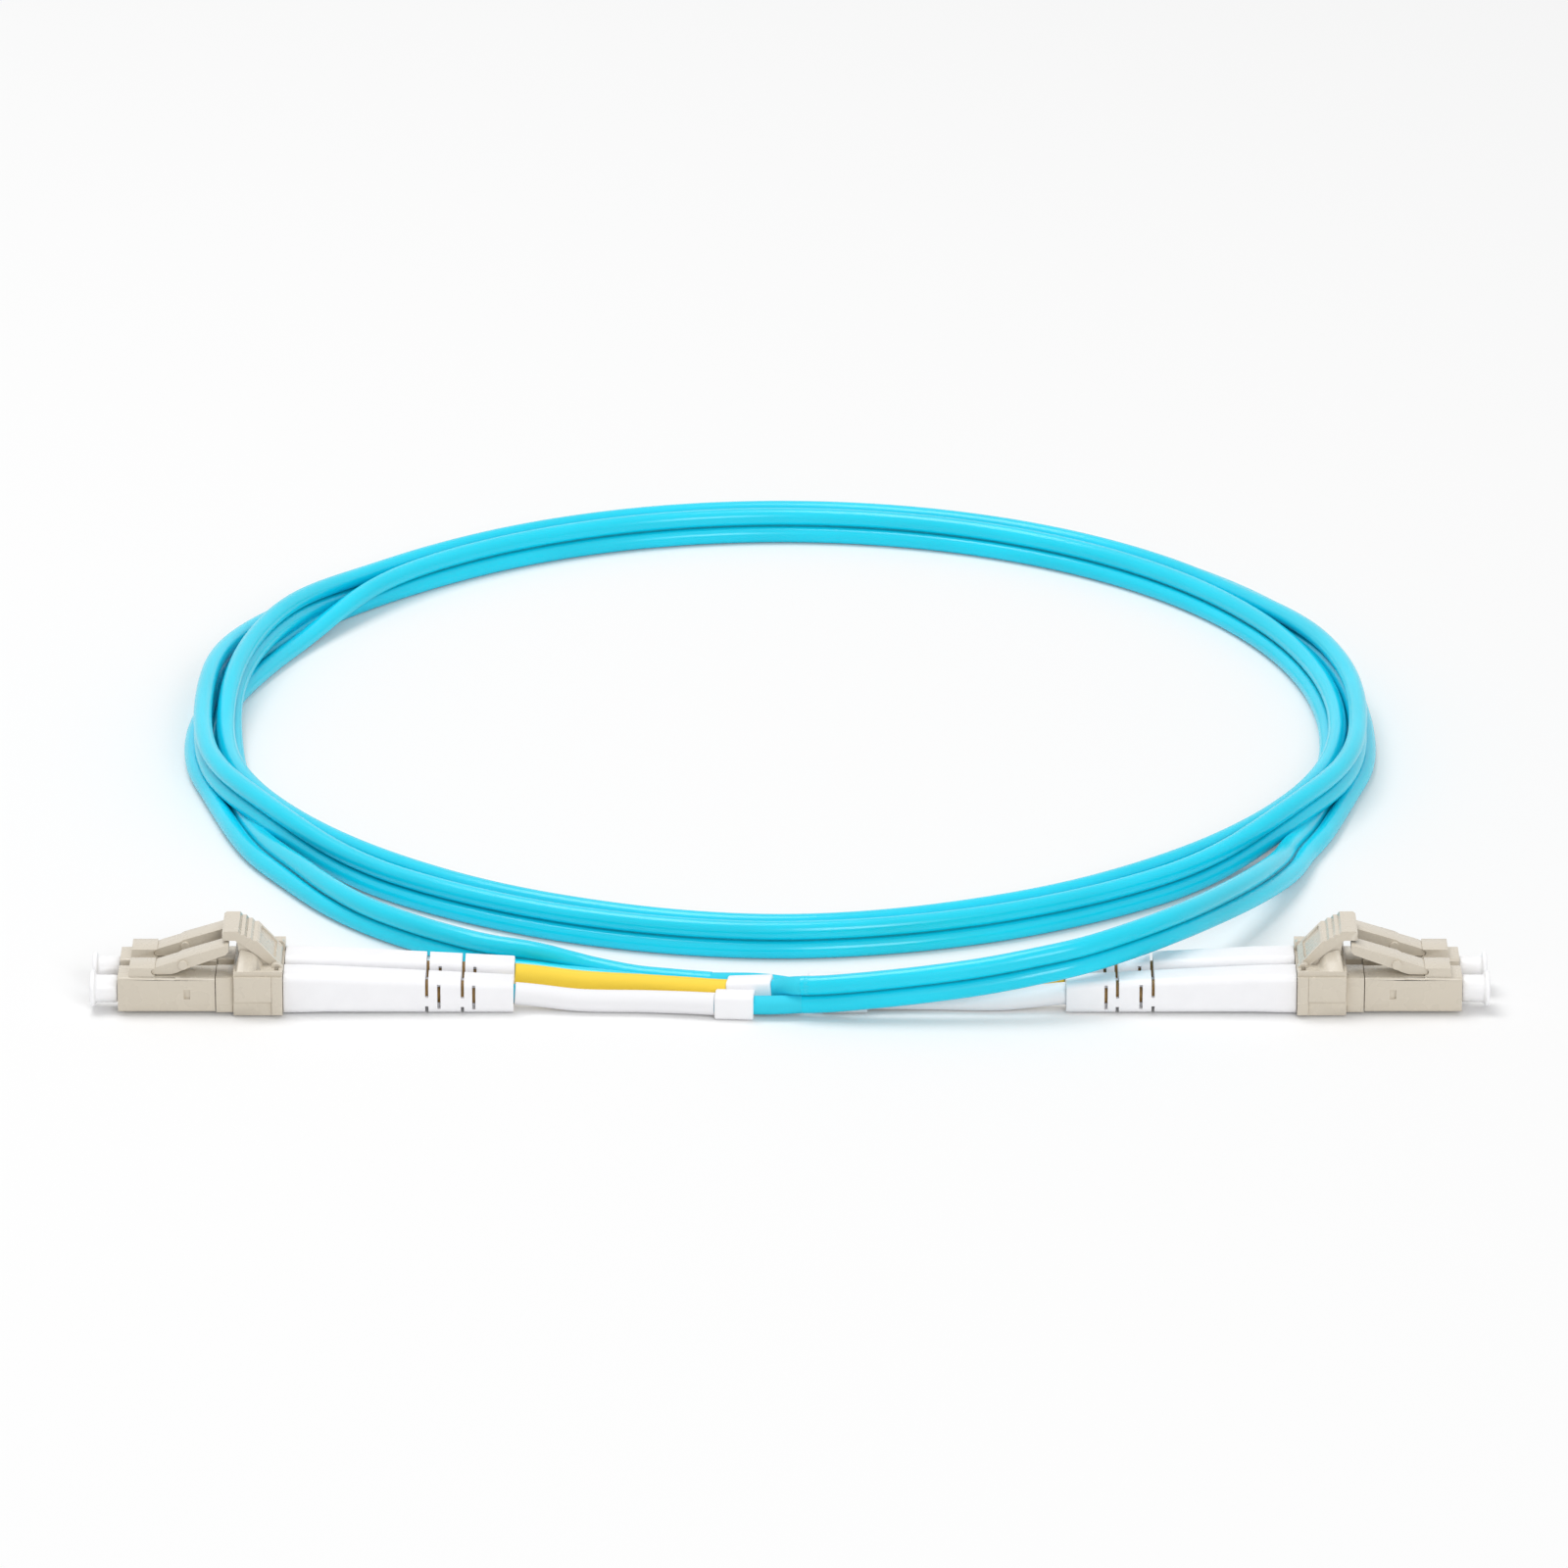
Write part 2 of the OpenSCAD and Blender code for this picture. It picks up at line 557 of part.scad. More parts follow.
zip_coil();
zip_tube(lead_left, zip_section);  // zip_lead_left
zip_tube(lead_right, zip_section);  // zip_lead_right
for (e = ENDS) {
    at_end(e) duplex_clip();
    at_end(e) trigger();
    for (c = CHANNELS) {
        at_channel(e, c) dust_cap();
        at_channel(e, c) ferrule();
        at_channel(e, c) ferrule_flange();
        at_channel(e, c) ferrule_spring();
        at_channel(e, c) plug_housing();
        at_channel(e, c) latch_arm();
        at_channel(e, c) rear_body();
        at_channel(e, c) crimp_ring();
        at_channel(e, c) boot();
        at_channel(e, c) buffered_fibre();
        leg_jacket(e, c);
        leg_sleeve(e, c);
        id_marker(e, c);
    }
}
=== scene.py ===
"""Dressed model of a duplex fiber optic patch cord.

Two paired LC plugs are joined by an aqua zip cord, which lies wound in one flat coil behind
them. Shapes are worked out in millimetres. A plug's own frame has x running back from the
front face of its housing towards the cord, y across and z up, and its finished meshes are
carried to their place in metres.
"""

import json
import logging
import math
from dataclasses import dataclass
from enum import Enum
from typing import Callable, Iterable, Sequence

import bpy
from mathutils import Matrix, Vector

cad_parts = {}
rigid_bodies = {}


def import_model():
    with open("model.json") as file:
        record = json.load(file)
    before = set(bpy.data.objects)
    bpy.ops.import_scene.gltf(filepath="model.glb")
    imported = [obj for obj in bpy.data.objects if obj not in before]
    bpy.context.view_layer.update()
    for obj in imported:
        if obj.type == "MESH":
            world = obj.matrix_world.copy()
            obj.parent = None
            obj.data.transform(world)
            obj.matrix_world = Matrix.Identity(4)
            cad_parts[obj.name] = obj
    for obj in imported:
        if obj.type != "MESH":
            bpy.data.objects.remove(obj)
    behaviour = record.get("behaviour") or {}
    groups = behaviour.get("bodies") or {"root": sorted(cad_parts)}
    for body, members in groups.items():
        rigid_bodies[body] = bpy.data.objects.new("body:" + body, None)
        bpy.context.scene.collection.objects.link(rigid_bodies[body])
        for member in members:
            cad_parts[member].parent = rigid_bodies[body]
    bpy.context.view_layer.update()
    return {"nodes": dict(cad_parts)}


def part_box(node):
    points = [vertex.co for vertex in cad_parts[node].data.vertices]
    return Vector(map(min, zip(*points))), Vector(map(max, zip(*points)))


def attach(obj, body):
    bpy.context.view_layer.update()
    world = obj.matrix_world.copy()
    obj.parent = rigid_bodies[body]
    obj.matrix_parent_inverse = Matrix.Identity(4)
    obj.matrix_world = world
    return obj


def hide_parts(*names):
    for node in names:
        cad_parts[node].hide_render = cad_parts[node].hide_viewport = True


for leftover in list(bpy.data.objects):
    bpy.data.objects.remove(leftover, do_unlink=True)
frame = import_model()

MM = 0.001
log = logging.getLogger("patch_cord")

SIDES = (-1, 1)

Span = tuple[float, float]
Point = tuple[float, float, float]
Outline = Sequence[Span]
Route = list[Vector]


# ---- where things sit -------------------------------------------------------------------------


class End(Enum):
    """The two ends of the cord, with the sign of each one's place along x."""

    LEFT = -1
    RIGHT = 1

    @property
    def tag(self) -> str:
        """The end's name as the frame's nodes spell it."""
        return self.name.lower()


class Channel(Enum):
    """The two channels of a duplex plug, with the sign of each one's place along y."""

    BACK = 1
    FRONT = -1

    @property
    def tag(self) -> str:
        """The channel's name as the frame's nodes spell it."""
        return self.name.lower()


def frame_span(node: str, axis: int) -> Span:
    """The lowest and highest place of a frame node along one axis.

    Args:
        node: Name of the node.
        axis: 0 for x, 1 for y, 2 for z.

    Returns:
        The two places in millimetres.
    """
    low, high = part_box(node)
    return low[axis] / MM, high[axis] / MM


@dataclass(frozen=True)
class PlugFrame:
    """The sizes that every piece of a plug shares, read from the frame, in millimetres."""

    front_x: float
    pitch: float
    axis_z: float
    body_w: float
    housing_len: float
    clip: Span
    clip_half_w: float
    boot: Span
    boot_w: float
    post_end: float

    @classmethod
    def read(cls) -> "PlugFrame":
        """Reads the sizes from the left plug's nodes.

        Returns:
            The shared sizes.
        """
        front, rear = frame_span("plug_housing_left_back", 0)
        low_y, high_y = frame_span("plug_housing_left_back", 1)
        low_z, high_z = frame_span("ferrule_flange_left_back", 2)
        clip = frame_span("duplex_clip_left", 0)
        boot = frame_span("boot_left_back", 0)
        boot_y = frame_span("boot_left_back", 1)
        return cls(
            front_x=-front,
            pitch=low_y + high_y,
            axis_z=(low_z + high_z) / 2,
            body_w=high_y - low_y,
            housing_len=rear - front,
            clip=(clip[0] - front, clip[1] - front),
            clip_half_w=frame_span("duplex_clip_left", 1)[1],
            boot=(boot[0] - front, boot[1] - front),
            boot_w=boot_y[1] - boot_y[0],
            post_end=frame_span("rear_body_left_back", 0)[1] - front,
        )

    def sag(self, x: float) -> float:
        """How far the boot hangs below the plug's axis, its tail resting on the floor.

        Args:
            x: Place along the plug.

        Returns:
            The distance in millimetres.
        """
        tail_sag = 0.65
        share = (x - self.post_end) / (self.boot[1] - self.post_end)
        return tail_sag * max(0.0, min(1.0, share))

    def end_matrix(self, end: End) -> Matrix:
        """The move from an end's own frame to the whole object's.

        Args:
            end: Which end of the cord.

        Returns:
            The matrix, in millimetres.
        """
        place = Matrix.Translation((-self.front_x, 0, 0))
        if end is End.RIGHT:
            return Matrix.Rotation(math.pi, 4, "Z") @ place
        return place

    def channel_matrix(self, end: End, channel: Channel) -> Matrix:
        """The move from one channel's own frame to the whole object's.

        Args:
            end: Which end of the cord.
            channel: Which channel of that end.

        Returns:
            The matrix, in millimetres.
        """
        side = -end.value * channel.value * self.pitch / 2
        return self.end_matrix(end) @ Matrix.Translation((0, side, 0))


# ---- hand tools -------------------------------------------------------------------------------


class Bench:
    """Modelling steps as they are done by hand, in millimetres."""

    @staticmethod
    def clear() -> None:
        """Leaves edit mode and deselects everything."""
        if bpy.context.mode != "OBJECT":
            bpy.ops.object.mode_set(mode="OBJECT")
        bpy.ops.object.select_all(action="DESELECT")

    @staticmethod
    def pick(obj: bpy.types.Object) -> None:
        """Makes one object the only selected one, and the active one."""
        Bench.clear()
        obj.select_set(True)
        bpy.context.view_layer.objects.active = obj

    @staticmethod
    def block(x: Span, y: Span, z: Span) -> bpy.types.Object:
        """A cube primitive stretched to three spans.

        Args:
            x: Lowest and highest x.
            y: Lowest and highest y.
            z: Lowest and highest z.

        Returns:
            The new object.
        """
        Bench.clear()
        spans = (x, y, z)
        bpy.ops.mesh.primitive_cube_add(
            size=1,
            location=[(low + high) / 2 for low, high in spans],
            scale=[high - low for low, high in spans],
        )
        bpy.ops.object.transform_apply(location=True, rotation=True, scale=True)
        return bpy.context.object

    @staticmethod
    def rod(centre: Sequence[float], axis: str, length: float, radius: float,
            sides: int = 32) -> bpy.types.Object:
        """A cylinder primitive laid along one axis.

        Args:
            centre: Its middle.
            axis: "X", "Y" or "Z".
            length: Its length.
            radius: Its radius.
            sides: How many sides it has.

        Returns:
            The new object.
        """
        Bench.clear()
        turn = {"X": (0, math.pi / 2, 0), "Y": (math.pi / 2, 0, 0), "Z": (0, 0, 0)}[axis]
        bpy.ops.mesh.primitive_cylinder_add(
            vertices=sides, radius=radius, depth=length, location=centre, rotation=turn)
        bpy.ops.object.transform_apply(location=True, rotation=True, scale=True)
        return bpy.context.object

    @staticmethod
    def open_ring(points: Sequence[Point], fill: str) -> bpy.types.Object:
        """A circle primitive pulled to a list of points, open in edit mode, all selected.

        Args:
            points: Its corners.
            fill: "NGON" for a face, "NOTHING" for a bare ring.

        Returns:
            The new object.
        """
        Bench.clear()
        bpy.ops.mesh.primitive_circle_add(vertices=len(points), fill_type=fill)
        obj = bpy.context.object
        for vertex, point in zip(obj.data.vertices, points):
            vertex.co = point
        bpy.ops.object.mode_set(mode="EDIT")
        bpy.ops.mesh.select_all(action="SELECT")
        return obj

    @staticmethod
    def close_shell() -> None:
        """Turns all faces of the mesh in edit mode outwards and leaves edit mode."""
        bpy.ops.mesh.select_all(action="SELECT")
        bpy.ops.mesh.normals_make_consistent(inside=False)
        bpy.ops.object.mode_set(mode="OBJECT")

    @staticmethod
    def plate(outline: Outline, y: Span) -> bpy.types.Object:
        """A filled side outline extruded across.

        Args:
            outline: Corners as (x, z).
            y: Lowest and highest y.

        Returns:
            The new object.
        """
        obj = Bench.open_ring([(x, y[0], z) for x, z in outline], "NGON")
        bpy.ops.mesh.extrude_region_move(TRANSFORM_OT_translate={"value": (0, y[1] - y[0], 0)})
        Bench.close_shell()
        return obj

    @staticmethod
    def turned(profile: Outline, axis_z: float, steps: int = 56) -> bpy.types.Object:
        """A closed half outline spun about a line along x.

        Args:
            profile: Corners as (x, radius).
            axis_z: Height of the line.
            steps: Steps of the spin.

        Returns:
            The new object.
        """
        obj = Bench.open_ring([(x, 0, axis_z + radius) for x, radius in profile], "NOTHING")
        bpy.ops.mesh.spin(steps=steps, angle=math.tau, center=(0, 0, axis_z), axis=(1, 0, 0))
        bpy.ops.mesh.select_all(action="SELECT")
        bpy.ops.mesh.remove_doubles(threshold=0.002)
        bpy.ops.mesh.dissolve_degenerate(threshold=0.001)
        Bench.close_shell()
        return obj

    @staticmethod
    def boolean(obj: bpy.types.Object, tools: Iterable[bpy.types.Object],
                operation: str = "DIFFERENCE") -> None:
        """Cuts tools out of an object, or joins them to it, and uses them up.

        Args:
            obj: The object that stays.
            tools: The objects that are used up.
            operation: "DIFFERENCE" or "UNION".
        """
        for tool in tools:
            Bench.pick(obj)
            modifier = obj.modifiers.new("tool", "BOOLEAN")
            modifier.operation = operation
            modifier.solver = "EXACT"
            modifier.object = tool
            bpy.ops.object.modifier_apply(modifier=modifier.name)
            bpy.data.objects.remove(tool, do_unlink=True)

    @staticmethod
    def select_edges(obj: bpy.types.Object, wanted: Callable[[Vector, Vector], bool]) -> None:
        """Opens an object in edit mode with the wanted edges selected.

        Args:
            obj: The object.
            wanted: Says of an edge's two ends whether it is selected.
        """
        Bench.pick(obj)
        bpy.context.tool_settings.mesh_select_mode = (False, True, False)
        mesh = obj.data
        for vertex in mesh.vertices:
            vertex.select = False
        for face in mesh.polygons:
            face.select = False
        for edge in mesh.edges:
            first, last = (mesh.vertices[index].co for index in edge.vertices)
            edge.select = wanted(first, last)
        bpy.ops.object.mode_set(mode="EDIT")

    @staticmethod
    def round_long_edges(obj: bpy.types.Object, width: float, segments: int = 4) -> None:
        """Rounds the edges of a bar that run along x.

        Args:
            obj: The bar.
            width: How far the round reaches from the edge.
            segments: Its steps.
        """
        nearly = 0.9 * max(edge_length(obj, edge) for edge in obj.data.edges)
        Bench.select_edges(obj, lambda a, b: abs(a.x - b.x) > nearly)
        bpy.ops.mesh.bevel(offset=width, segments=segments, affect="EDGES")
        bpy.ops.object.mode_set(mode="OBJECT")

    @staticmethod
    def soften(obj: bpy.types.Object, width: float, segments: int = 2,
               angle: float = 32) -> bpy.types.Object:
        """Rounds every sharp edge and shades the piece smooth.

        Args:
            obj: The piece.
            width: Size of the round.
            segments: Its steps.
            angle: Edges sharper than this many degrees are rounded.

        Returns:
            The piece.
        """
        Bench.pick(obj)
        modifier = obj.modifiers.new("edges", "BEVEL")
        modifier.width = width
        modifier.segments = segments
        modifier.limit_method = "ANGLE"
        modifier.angle_limit = math.radians(angle)
        modifier.harden_normals = False
        bpy.ops.object.modifier_apply(modifier=modifier.name)
        return Bench.smooth(obj)

    @staticmethod
    def bisect(obj: bpy.types.Object, x: float) -> None:
        """Cuts a ring of new edges across an object at one place along x.

        Args:
            obj: The object.
            x: The place.
        """
        Bench.pick(obj)
        bpy.ops.object.mode_set(mode="EDIT")
        bpy.ops.mesh.select_all(action="SELECT")
        bpy.ops.mesh.bisect(plane_co=(x, 0, 0), plane_no=(1, 0, 0))
        bpy.ops.object.mode_set(mode="OBJECT")

    @staticmethod
    def smooth(obj: bpy.types.Object, angle: float = 38) -> bpy.types.Object:
        """Shades an object smooth where its faces meet at less than the angle."""
        Bench.pick(obj)
        bpy.ops.object.shade_smooth_by_angle(angle=math.radians(angle))
        return obj


def edge_length(obj: bpy.types.Object, edge: bpy.types.MeshEdge) -> float:
    """Length of one edge of an object."""
    first, last = (obj.data.vertices[index].co for index in edge.vertices)
    return (first - last).length


def side_span(side: int, inner: float, outer: float) -> Span:
    """The span across between two distances from the middle, on side -1 or 1."""
    low, high = sorted((side * inner, side * outer))
    return low, high


def arc(centre: Span, radius: float, start: float, stop: float, steps: int) -> list[Span]:
    """Points along an arc of a side outline.

    Args:
        centre: Its centre as (x, z).
        radius: Its radius.
        start: First angle in degrees, from +x towards +z.
        stop: Last angle in degrees.
        steps: How many steps lead from one to the other.

    Returns:
        The points, both ends among them.
    """
    angles = [math.radians(start + (stop - start) * i / steps) for i in range(steps + 1)]
    return [(centre[0] + radius * math.cos(a), centre[1] + radius * math.sin(a)) for a in angles]


# ---- finishes ---------------------------------------------------------------------------------


class NodeBoard:
    """A material's node tree, with short ways to add and link nodes."""

    def __init__(self, name: str) -> None:
        """Starts a new material of that name with a Principled shader."""
        self.material = bpy.data.materials.new(name)
        self.material.use_nodes = True
        self.tree = self.material.node_tree
        self.shader = self.tree.nodes["Principled BSDF"]

    def node(self, kind: str, **settings: object) -> bpy.types.Node:
        """Adds a node and sets its attributes and, by name, its input sockets.

        Args:
            kind: The node's type name, without its prefix.
            **settings: Attributes, or sockets spelled with underscores.

        Returns:
            The node.
        """
        made = self.tree.nodes.new(f"ShaderNode{kind}")
        for name, value in settings.items():
            if hasattr(made, name):
                setattr(made, name, value)
            else:
                made.inputs[name.replace("_", " ")].default_value = value
        return made

    def link(self, source: bpy.types.NodeSocket, target: bpy.types.NodeSocket) -> None:
        """Links two sockets."""
        self.tree.links.new(source, target)

    def place(self, source: str, scale: Sequence[float]) -> bpy.types.NodeSocket:
        """A pattern's own place, stretched by a scale.

        Args:
            source: "Object" for millimetres in space, "UV" for the cord's own map.
            scale: Stretch along the three axes.

        Returns:
            The socket with the vector.
        """
        coords = self.node("TexCoord")
        mapping = self.node("Mapping")
        mapping.inputs["Scale"].default_value = scale
        self.link(coords.outputs[source], mapping.inputs["Vector"])
        return mapping.outputs["Vector"]

    def tune(self, **values: object) -> None:
        """Sets the shader's inputs, each spelled with underscores."""
        for name, value in values.items():
            self.shader.inputs[name.replace("_", " ")].default_value = value

    def noise(self, vector: bpy.types.NodeSocket, detail: float) -> bpy.types.NodeSocket:
        """A noise pattern read at a place.

        Args:
            vector: The place.
            detail: Its octaves.

        Returns:
            The socket with its value.
        """
        made = self.node("TexNoise", Scale=1, Detail=detail)
        self.link(vector, made.inputs["Vector"])
        return made.outputs["Fac"]

    def specks(self, width: float, detail: float = 2) -> bpy.types.NodeSocket:
        """A noise pattern with specks of one width in millimetres."""
        return self.noise(self.place("Object", [1 / (width * MM)] * 3), detail)

    def ranged(self, value: bpy.types.NodeSocket, low: float, high: float,
               source: Span = (0.3, 0.7)) -> bpy.types.NodeSocket:
        """A value carried from one range to another.

        Args:
            value: The socket to read.
            low: What the start of its range becomes.
            high: What the end becomes.
            source: That range.

        Returns:
            The socket with the new value.
        """
        made = self.node("MapRange")
        for name, number in (("From Min", source[0]), ("From Max", source[1]),
                             ("To Min", low), ("To Max", high)):
            made.inputs[name].default_value = number
        self.link(value, made.inputs["Value"])
        return made.outputs["Result"]

    def tone(self, pattern: bpy.types.NodeSocket, colour: Point, low: float,
             high: float) -> None:
        """Colours the shader along a pattern, between two tones of one colour.

        Args:
            pattern: The pattern.
            colour: The colour.
            low: The factor that makes its first tone.
            high: The factor that makes its second tone.
        """
        mix = self.node("Mix", data_type="RGBA")
        self.link(self.ranged(pattern, 0, 1), mix.inputs["Factor"])
        for socket, factor in ((6, low), (7, high)):
            mix.inputs[socket].default_value = (*(min(1.0, part * factor) for part in colour), 1)
        self.link(mix.outputs[2], self.shader.inputs["Base Color"])

    def gloss(self, pattern: bpy.types.NodeSocket, roughness: float, drift: Span) -> None:
        """Lets the shader's roughness drift along a pattern.

        Args:
            pattern: The pattern.
            roughness: The roughness that it drifts about.
            drift: What is added to it at each end of the pattern.
        """
        self.link(self.ranged(pattern, roughness + drift[0], roughness + drift[1]),
                  self.shader.inputs["Roughness"])

    def soak(self, weight: float, depth: float) -> None:
        """Lets a share of the light into the surface, to a depth in millimetres."""
        self.tune(Subsurface_Weight=weight, Subsurface_Radius=(1, 1, 1),
                  Subsurface_Scale=depth * MM)

    def relief(self, height: bpy.types.NodeSocket, depth: float) -> None:
        """Gives the shader a relief.

        Args:
            height: The pattern of its height.
            depth: Its depth in millimetres.
        """
        bump = self.node("Bump", Distance=depth * MM, Strength=1)
        self.link(height, bump.inputs["Height"])
        self.link(bump.outputs["Normal"], self.shader.inputs["Normal"])


@dataclass(frozen=True)
class Finish:
    """What every finish shares: its name, linear colour and gloss."""

    name: str
    colour: Point
    roughness: float

    def material(self) -> bpy.types.Material:
        """The finish as a node material, made on first use.

        Returns:
            The material.
        """
        found = bpy.data.materials.get(self.name)
        if found:
            return found
        board = NodeBoard(self.name)
        board.tune(Roughness=self.roughness)
        self.dress(board)
        return board.material

    def dress(self, board: NodeBoard) -> None:
        """Fills the board with the finish's own pattern.

        Args:
            board: The material's nodes.
        """
        raise NotImplementedError


@dataclass(frozen=True)
class MouldedPlastic(Finish):
    """Injection-moulded plastic: cloudy tone, fine spark-eroded grain, uneven gloss."""

    grain: float = 0.12
    grain_depth: float = 0.006
    cloud: float = 2.2
    drift: float = 0.035
    gloss_drift: Span = (-0.015, 0.025)
    translucence: float = 0.0
    soak_depth: float = 0.6

    def dress(self, board: NodeBoard) -> None:
        """Adds the cloud, the grain and the uneven gloss.

        Args:
            board: The material's nodes.
        """
        cloud = board.specks(self.cloud)
        board.tone(cloud, self.colour, 1 - self.drift, 1 + self.drift)
        board.relief(board.specks(self.grain), self.grain_depth)
        board.gloss(cloud, self.roughness, self.gloss_drift)
        if self.translucence:
            board.soak(self.translucence, self.soak_depth)


@dataclass(frozen=True)
class ExtrudedJacket(Finish):
    """Extruded cable jacket: faint lines along the cord and a slow drift of tone."""

    line_width: float = 0.35
    line_stretch: float = 60
    line_depth: float = 0.012
    tone_scale: Span = (120, 60)
    sheen_drift: float = 0.04
    gloss_drift: Span = (-0.03, 0.05)
    specular: float = 0.5
    soak_weight: float = 0.12
    soak_depth: float = 0.4
    # paints shade into the grooves between joined jackets
    creases: bool = False

    def crease(self, board: NodeBoard) -> None:
        """Darkens the colour towards the two grooves between joined jackets: painted shade in the
        grooves.

        The map's first direction runs once round them, in the section's 34 steps. The grooves
        lie half a step before its first point and its middle one.

        Args:
            board: The material's nodes.
        """
        # painted shade: the colour is darkened to depth times itself at each groove, fading out
        # within reach of it
        girth, half_step, reach, depth = 13.9 * MM, 1 / 34, 0.085, 0.42
        coords = board.node("TexCoord")
        split = board.node("SeparateXYZ")
        board.link(coords.outputs["UV"], split.inputs[0])
        turns = board.node("Math", operation="MULTIPLY_ADD")
        turns.inputs[1].default_value = 2 / girth
        turns.inputs[2].default_value = half_step
        board.link(split.outputs[0], turns.inputs[0])
        away = board.node("Math", operation="PINGPONG")
        away.inputs[1].default_value = 0.5
        board.link(turns.outputs[0], away.inputs[0])
        light = board.node("MapRange")
        light.inputs["From Max"].default_value = reach
        light.inputs["To Min"].default_value = depth
        board.link(away.outputs[0], light.inputs["Value"])
        deep = board.node("VectorMath", operation="SCALE")
        colour = board.shader.inputs["Base Color"]
        board.link(colour.links[0].from_socket, deep.inputs[0])
        board.link(light.outputs["Result"], deep.inputs["Scale"])
        board.link(deep.outputs[0], colour)

    def dress(self, board: NodeBoard) -> None:
        """Adds the drawn lines, the tone, the fine matte grain and, for joined jackets, painted
        shade in the grooves.

        Args:
            board: The material's nodes.
        """
        across = 1 / (self.line_width * MM)
        lines = board.noise(board.place("UV", [across, across / self.line_stretch, 1]), 2)
        drift = board.noise(board.place("UV", [*self.tone_scale, 1]), 1)
        board.tone(drift, self.colour, 1 - self.sheen_drift, 1 + self.sheen_drift)
        board.relief(lines, self.line_depth)
        board.gloss(lines, self.roughness, self.gloss_drift)
        board.tune(Specular_IOR_Level=self.specular)
        board.soak(self.soak_weight, self.soak_depth)
        if self.creases:
            self.crease(board)


@dataclass(frozen=True)
class TurnedMetal(Finish):
    """Turned or drawn metal: fine rings round the plug's axis."""

    ring: float = 0.09
    cross_scale: float = 30
    ring_depth: float = 0.004
    dark_tone: float = 0.93
    gloss_drift: Span = (-0.05, 0.08)

    def dress(self, board: NodeBoard) -> None:
        """Adds the tool's rings and a slightly uneven gloss.

        Args:
            board: The material's nodes.
        """
        along = 1 / (self.ring * MM)
        rings = board.noise(board.place("Object", (along, self.cross_scale, self.cross_scale)), 1)
        board.tune(Metallic=1)
        board.tone(rings, self.colour, self.dark_tone, 1)
        board.relief(rings, self.ring_depth)
        board.gloss(rings, self.roughness, self.gloss_drift)


@dataclass(frozen=True)
class FiredCeramic(Finish):
    """Polished zirconia: dense, faintly mottled and glossy."""

    mottle: float = 0.3
    mottle_depth: float = 0.001
    dark_tone: float = 0.97
    coat: float = 0.5
    coat_roughness: float = 0.06

    def dress(self, board: NodeBoard) -> None:
        """Adds the mottle and the polish.

        Args:
            board: The material's nodes.
        """
        mottle = board.specks(self.mottle, 3)
        board.tone(mottle, self.colour, self.dark_tone, 1)
        board.relief(mottle, self.mottle_depth)
        board.tune(Coat_Weight=self.coat, Coat_Roughness=self.coat_roughness)


BEIGE = MouldedPlastic("beige_moulding", (0.64, 0.58, 0.482), 0.27, drift=0.007)
CAP = MouldedPlastic("soft_cap", (0.93, 0.93, 0.95), 0.3, grain_depth=0.003, drift=0.01,
                     translucence=0.35)
BOOT = MouldedPlastic("boot_elastomer", (0.90, 0.90, 0.92), 0.46, drift=0.012,
                      translucence=0.1)
MARKER = MouldedPlastic("marker_sleeve", (0.91, 0.91, 0.93), 0.42, drift=0.01)
# gold-brown of the tube inside the boot, darkened to paint the shade seen through the boot's
# slots
SHADED_CORE = MouldedPlastic("boot_core", (0.33, 0.19, 0.05), 0.5, drift=0.2, cloud=0.8)
YELLOW = ExtrudedJacket("yellow_sleeve", (0.92, 0.68, 0.012), 0.36)
WHITE = ExtrudedJacket("white_sleeve", (0.88, 0.88, 0.90), 0.42, sheen_drift=0.015)
AQUA = ExtrudedJacket("aqua_jacket", (0.004, 0.66, 0.86), 0.22, specular=0.4)
# the zip cord's jacket, with painted shade in the grooves between its jackets
AQUA_PAIR = ExtrudedJacket("aqua_zip", (0.004, 0.66, 0.86), 0.22, specular=0.4, creases=True)
BUFFER = MouldedPlastic("buffer_coat", (0.88, 0.88, 0.86), 0.4)
CERAMIC = FiredCeramic("ferrule_ceramic", (0.88, 0.87, 0.84), 0.18)
STEEL = TurnedMetal("turned_steel", (0.62, 0.62, 0.64), 0.28)
BRASS = TurnedMetal("drawn_brass", (0.72, 0.50, 0.20), 0.3)


def hand_over(obj: bpy.types.Object, name: str, place: Matrix, finish: Finish,
              body: str = "root", nodes: Sequence[str] = ()) -> bpy.types.Object:
    """Carries a finished mesh to its place and tells the frame about it.

    Args:
        obj: The piece, in millimetres in its own frame.
        name: Its name.
        place: The move to the whole object's frame, in millimetres.
        finish: Its finish.
        body: The body that it moves with.
        nodes: The frame's nodes that it stands for.

    Returns:
        The piece.
    """
    obj.name = name
    obj.data.name = name
    obj.data.transform(Matrix.Scale(MM, 4) @ place)
    obj.data.materials.clear()
    obj.data.materials.append(finish.material())
    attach(obj, body)
    if nodes:
        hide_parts(*nodes)
    log.info("%s: %d faces", name, len(obj.data.polygons))
    return obj


def copy_of(template: bpy.types.Object) -> bpy.types.Object:
    """A copy of an object with its own mesh."""
    made = template.copy()
    made.data = template.data.copy()
    bpy.context.collection.objects.link(made)
    return made


# ---- studio -----------------------------------------------------------------------------------


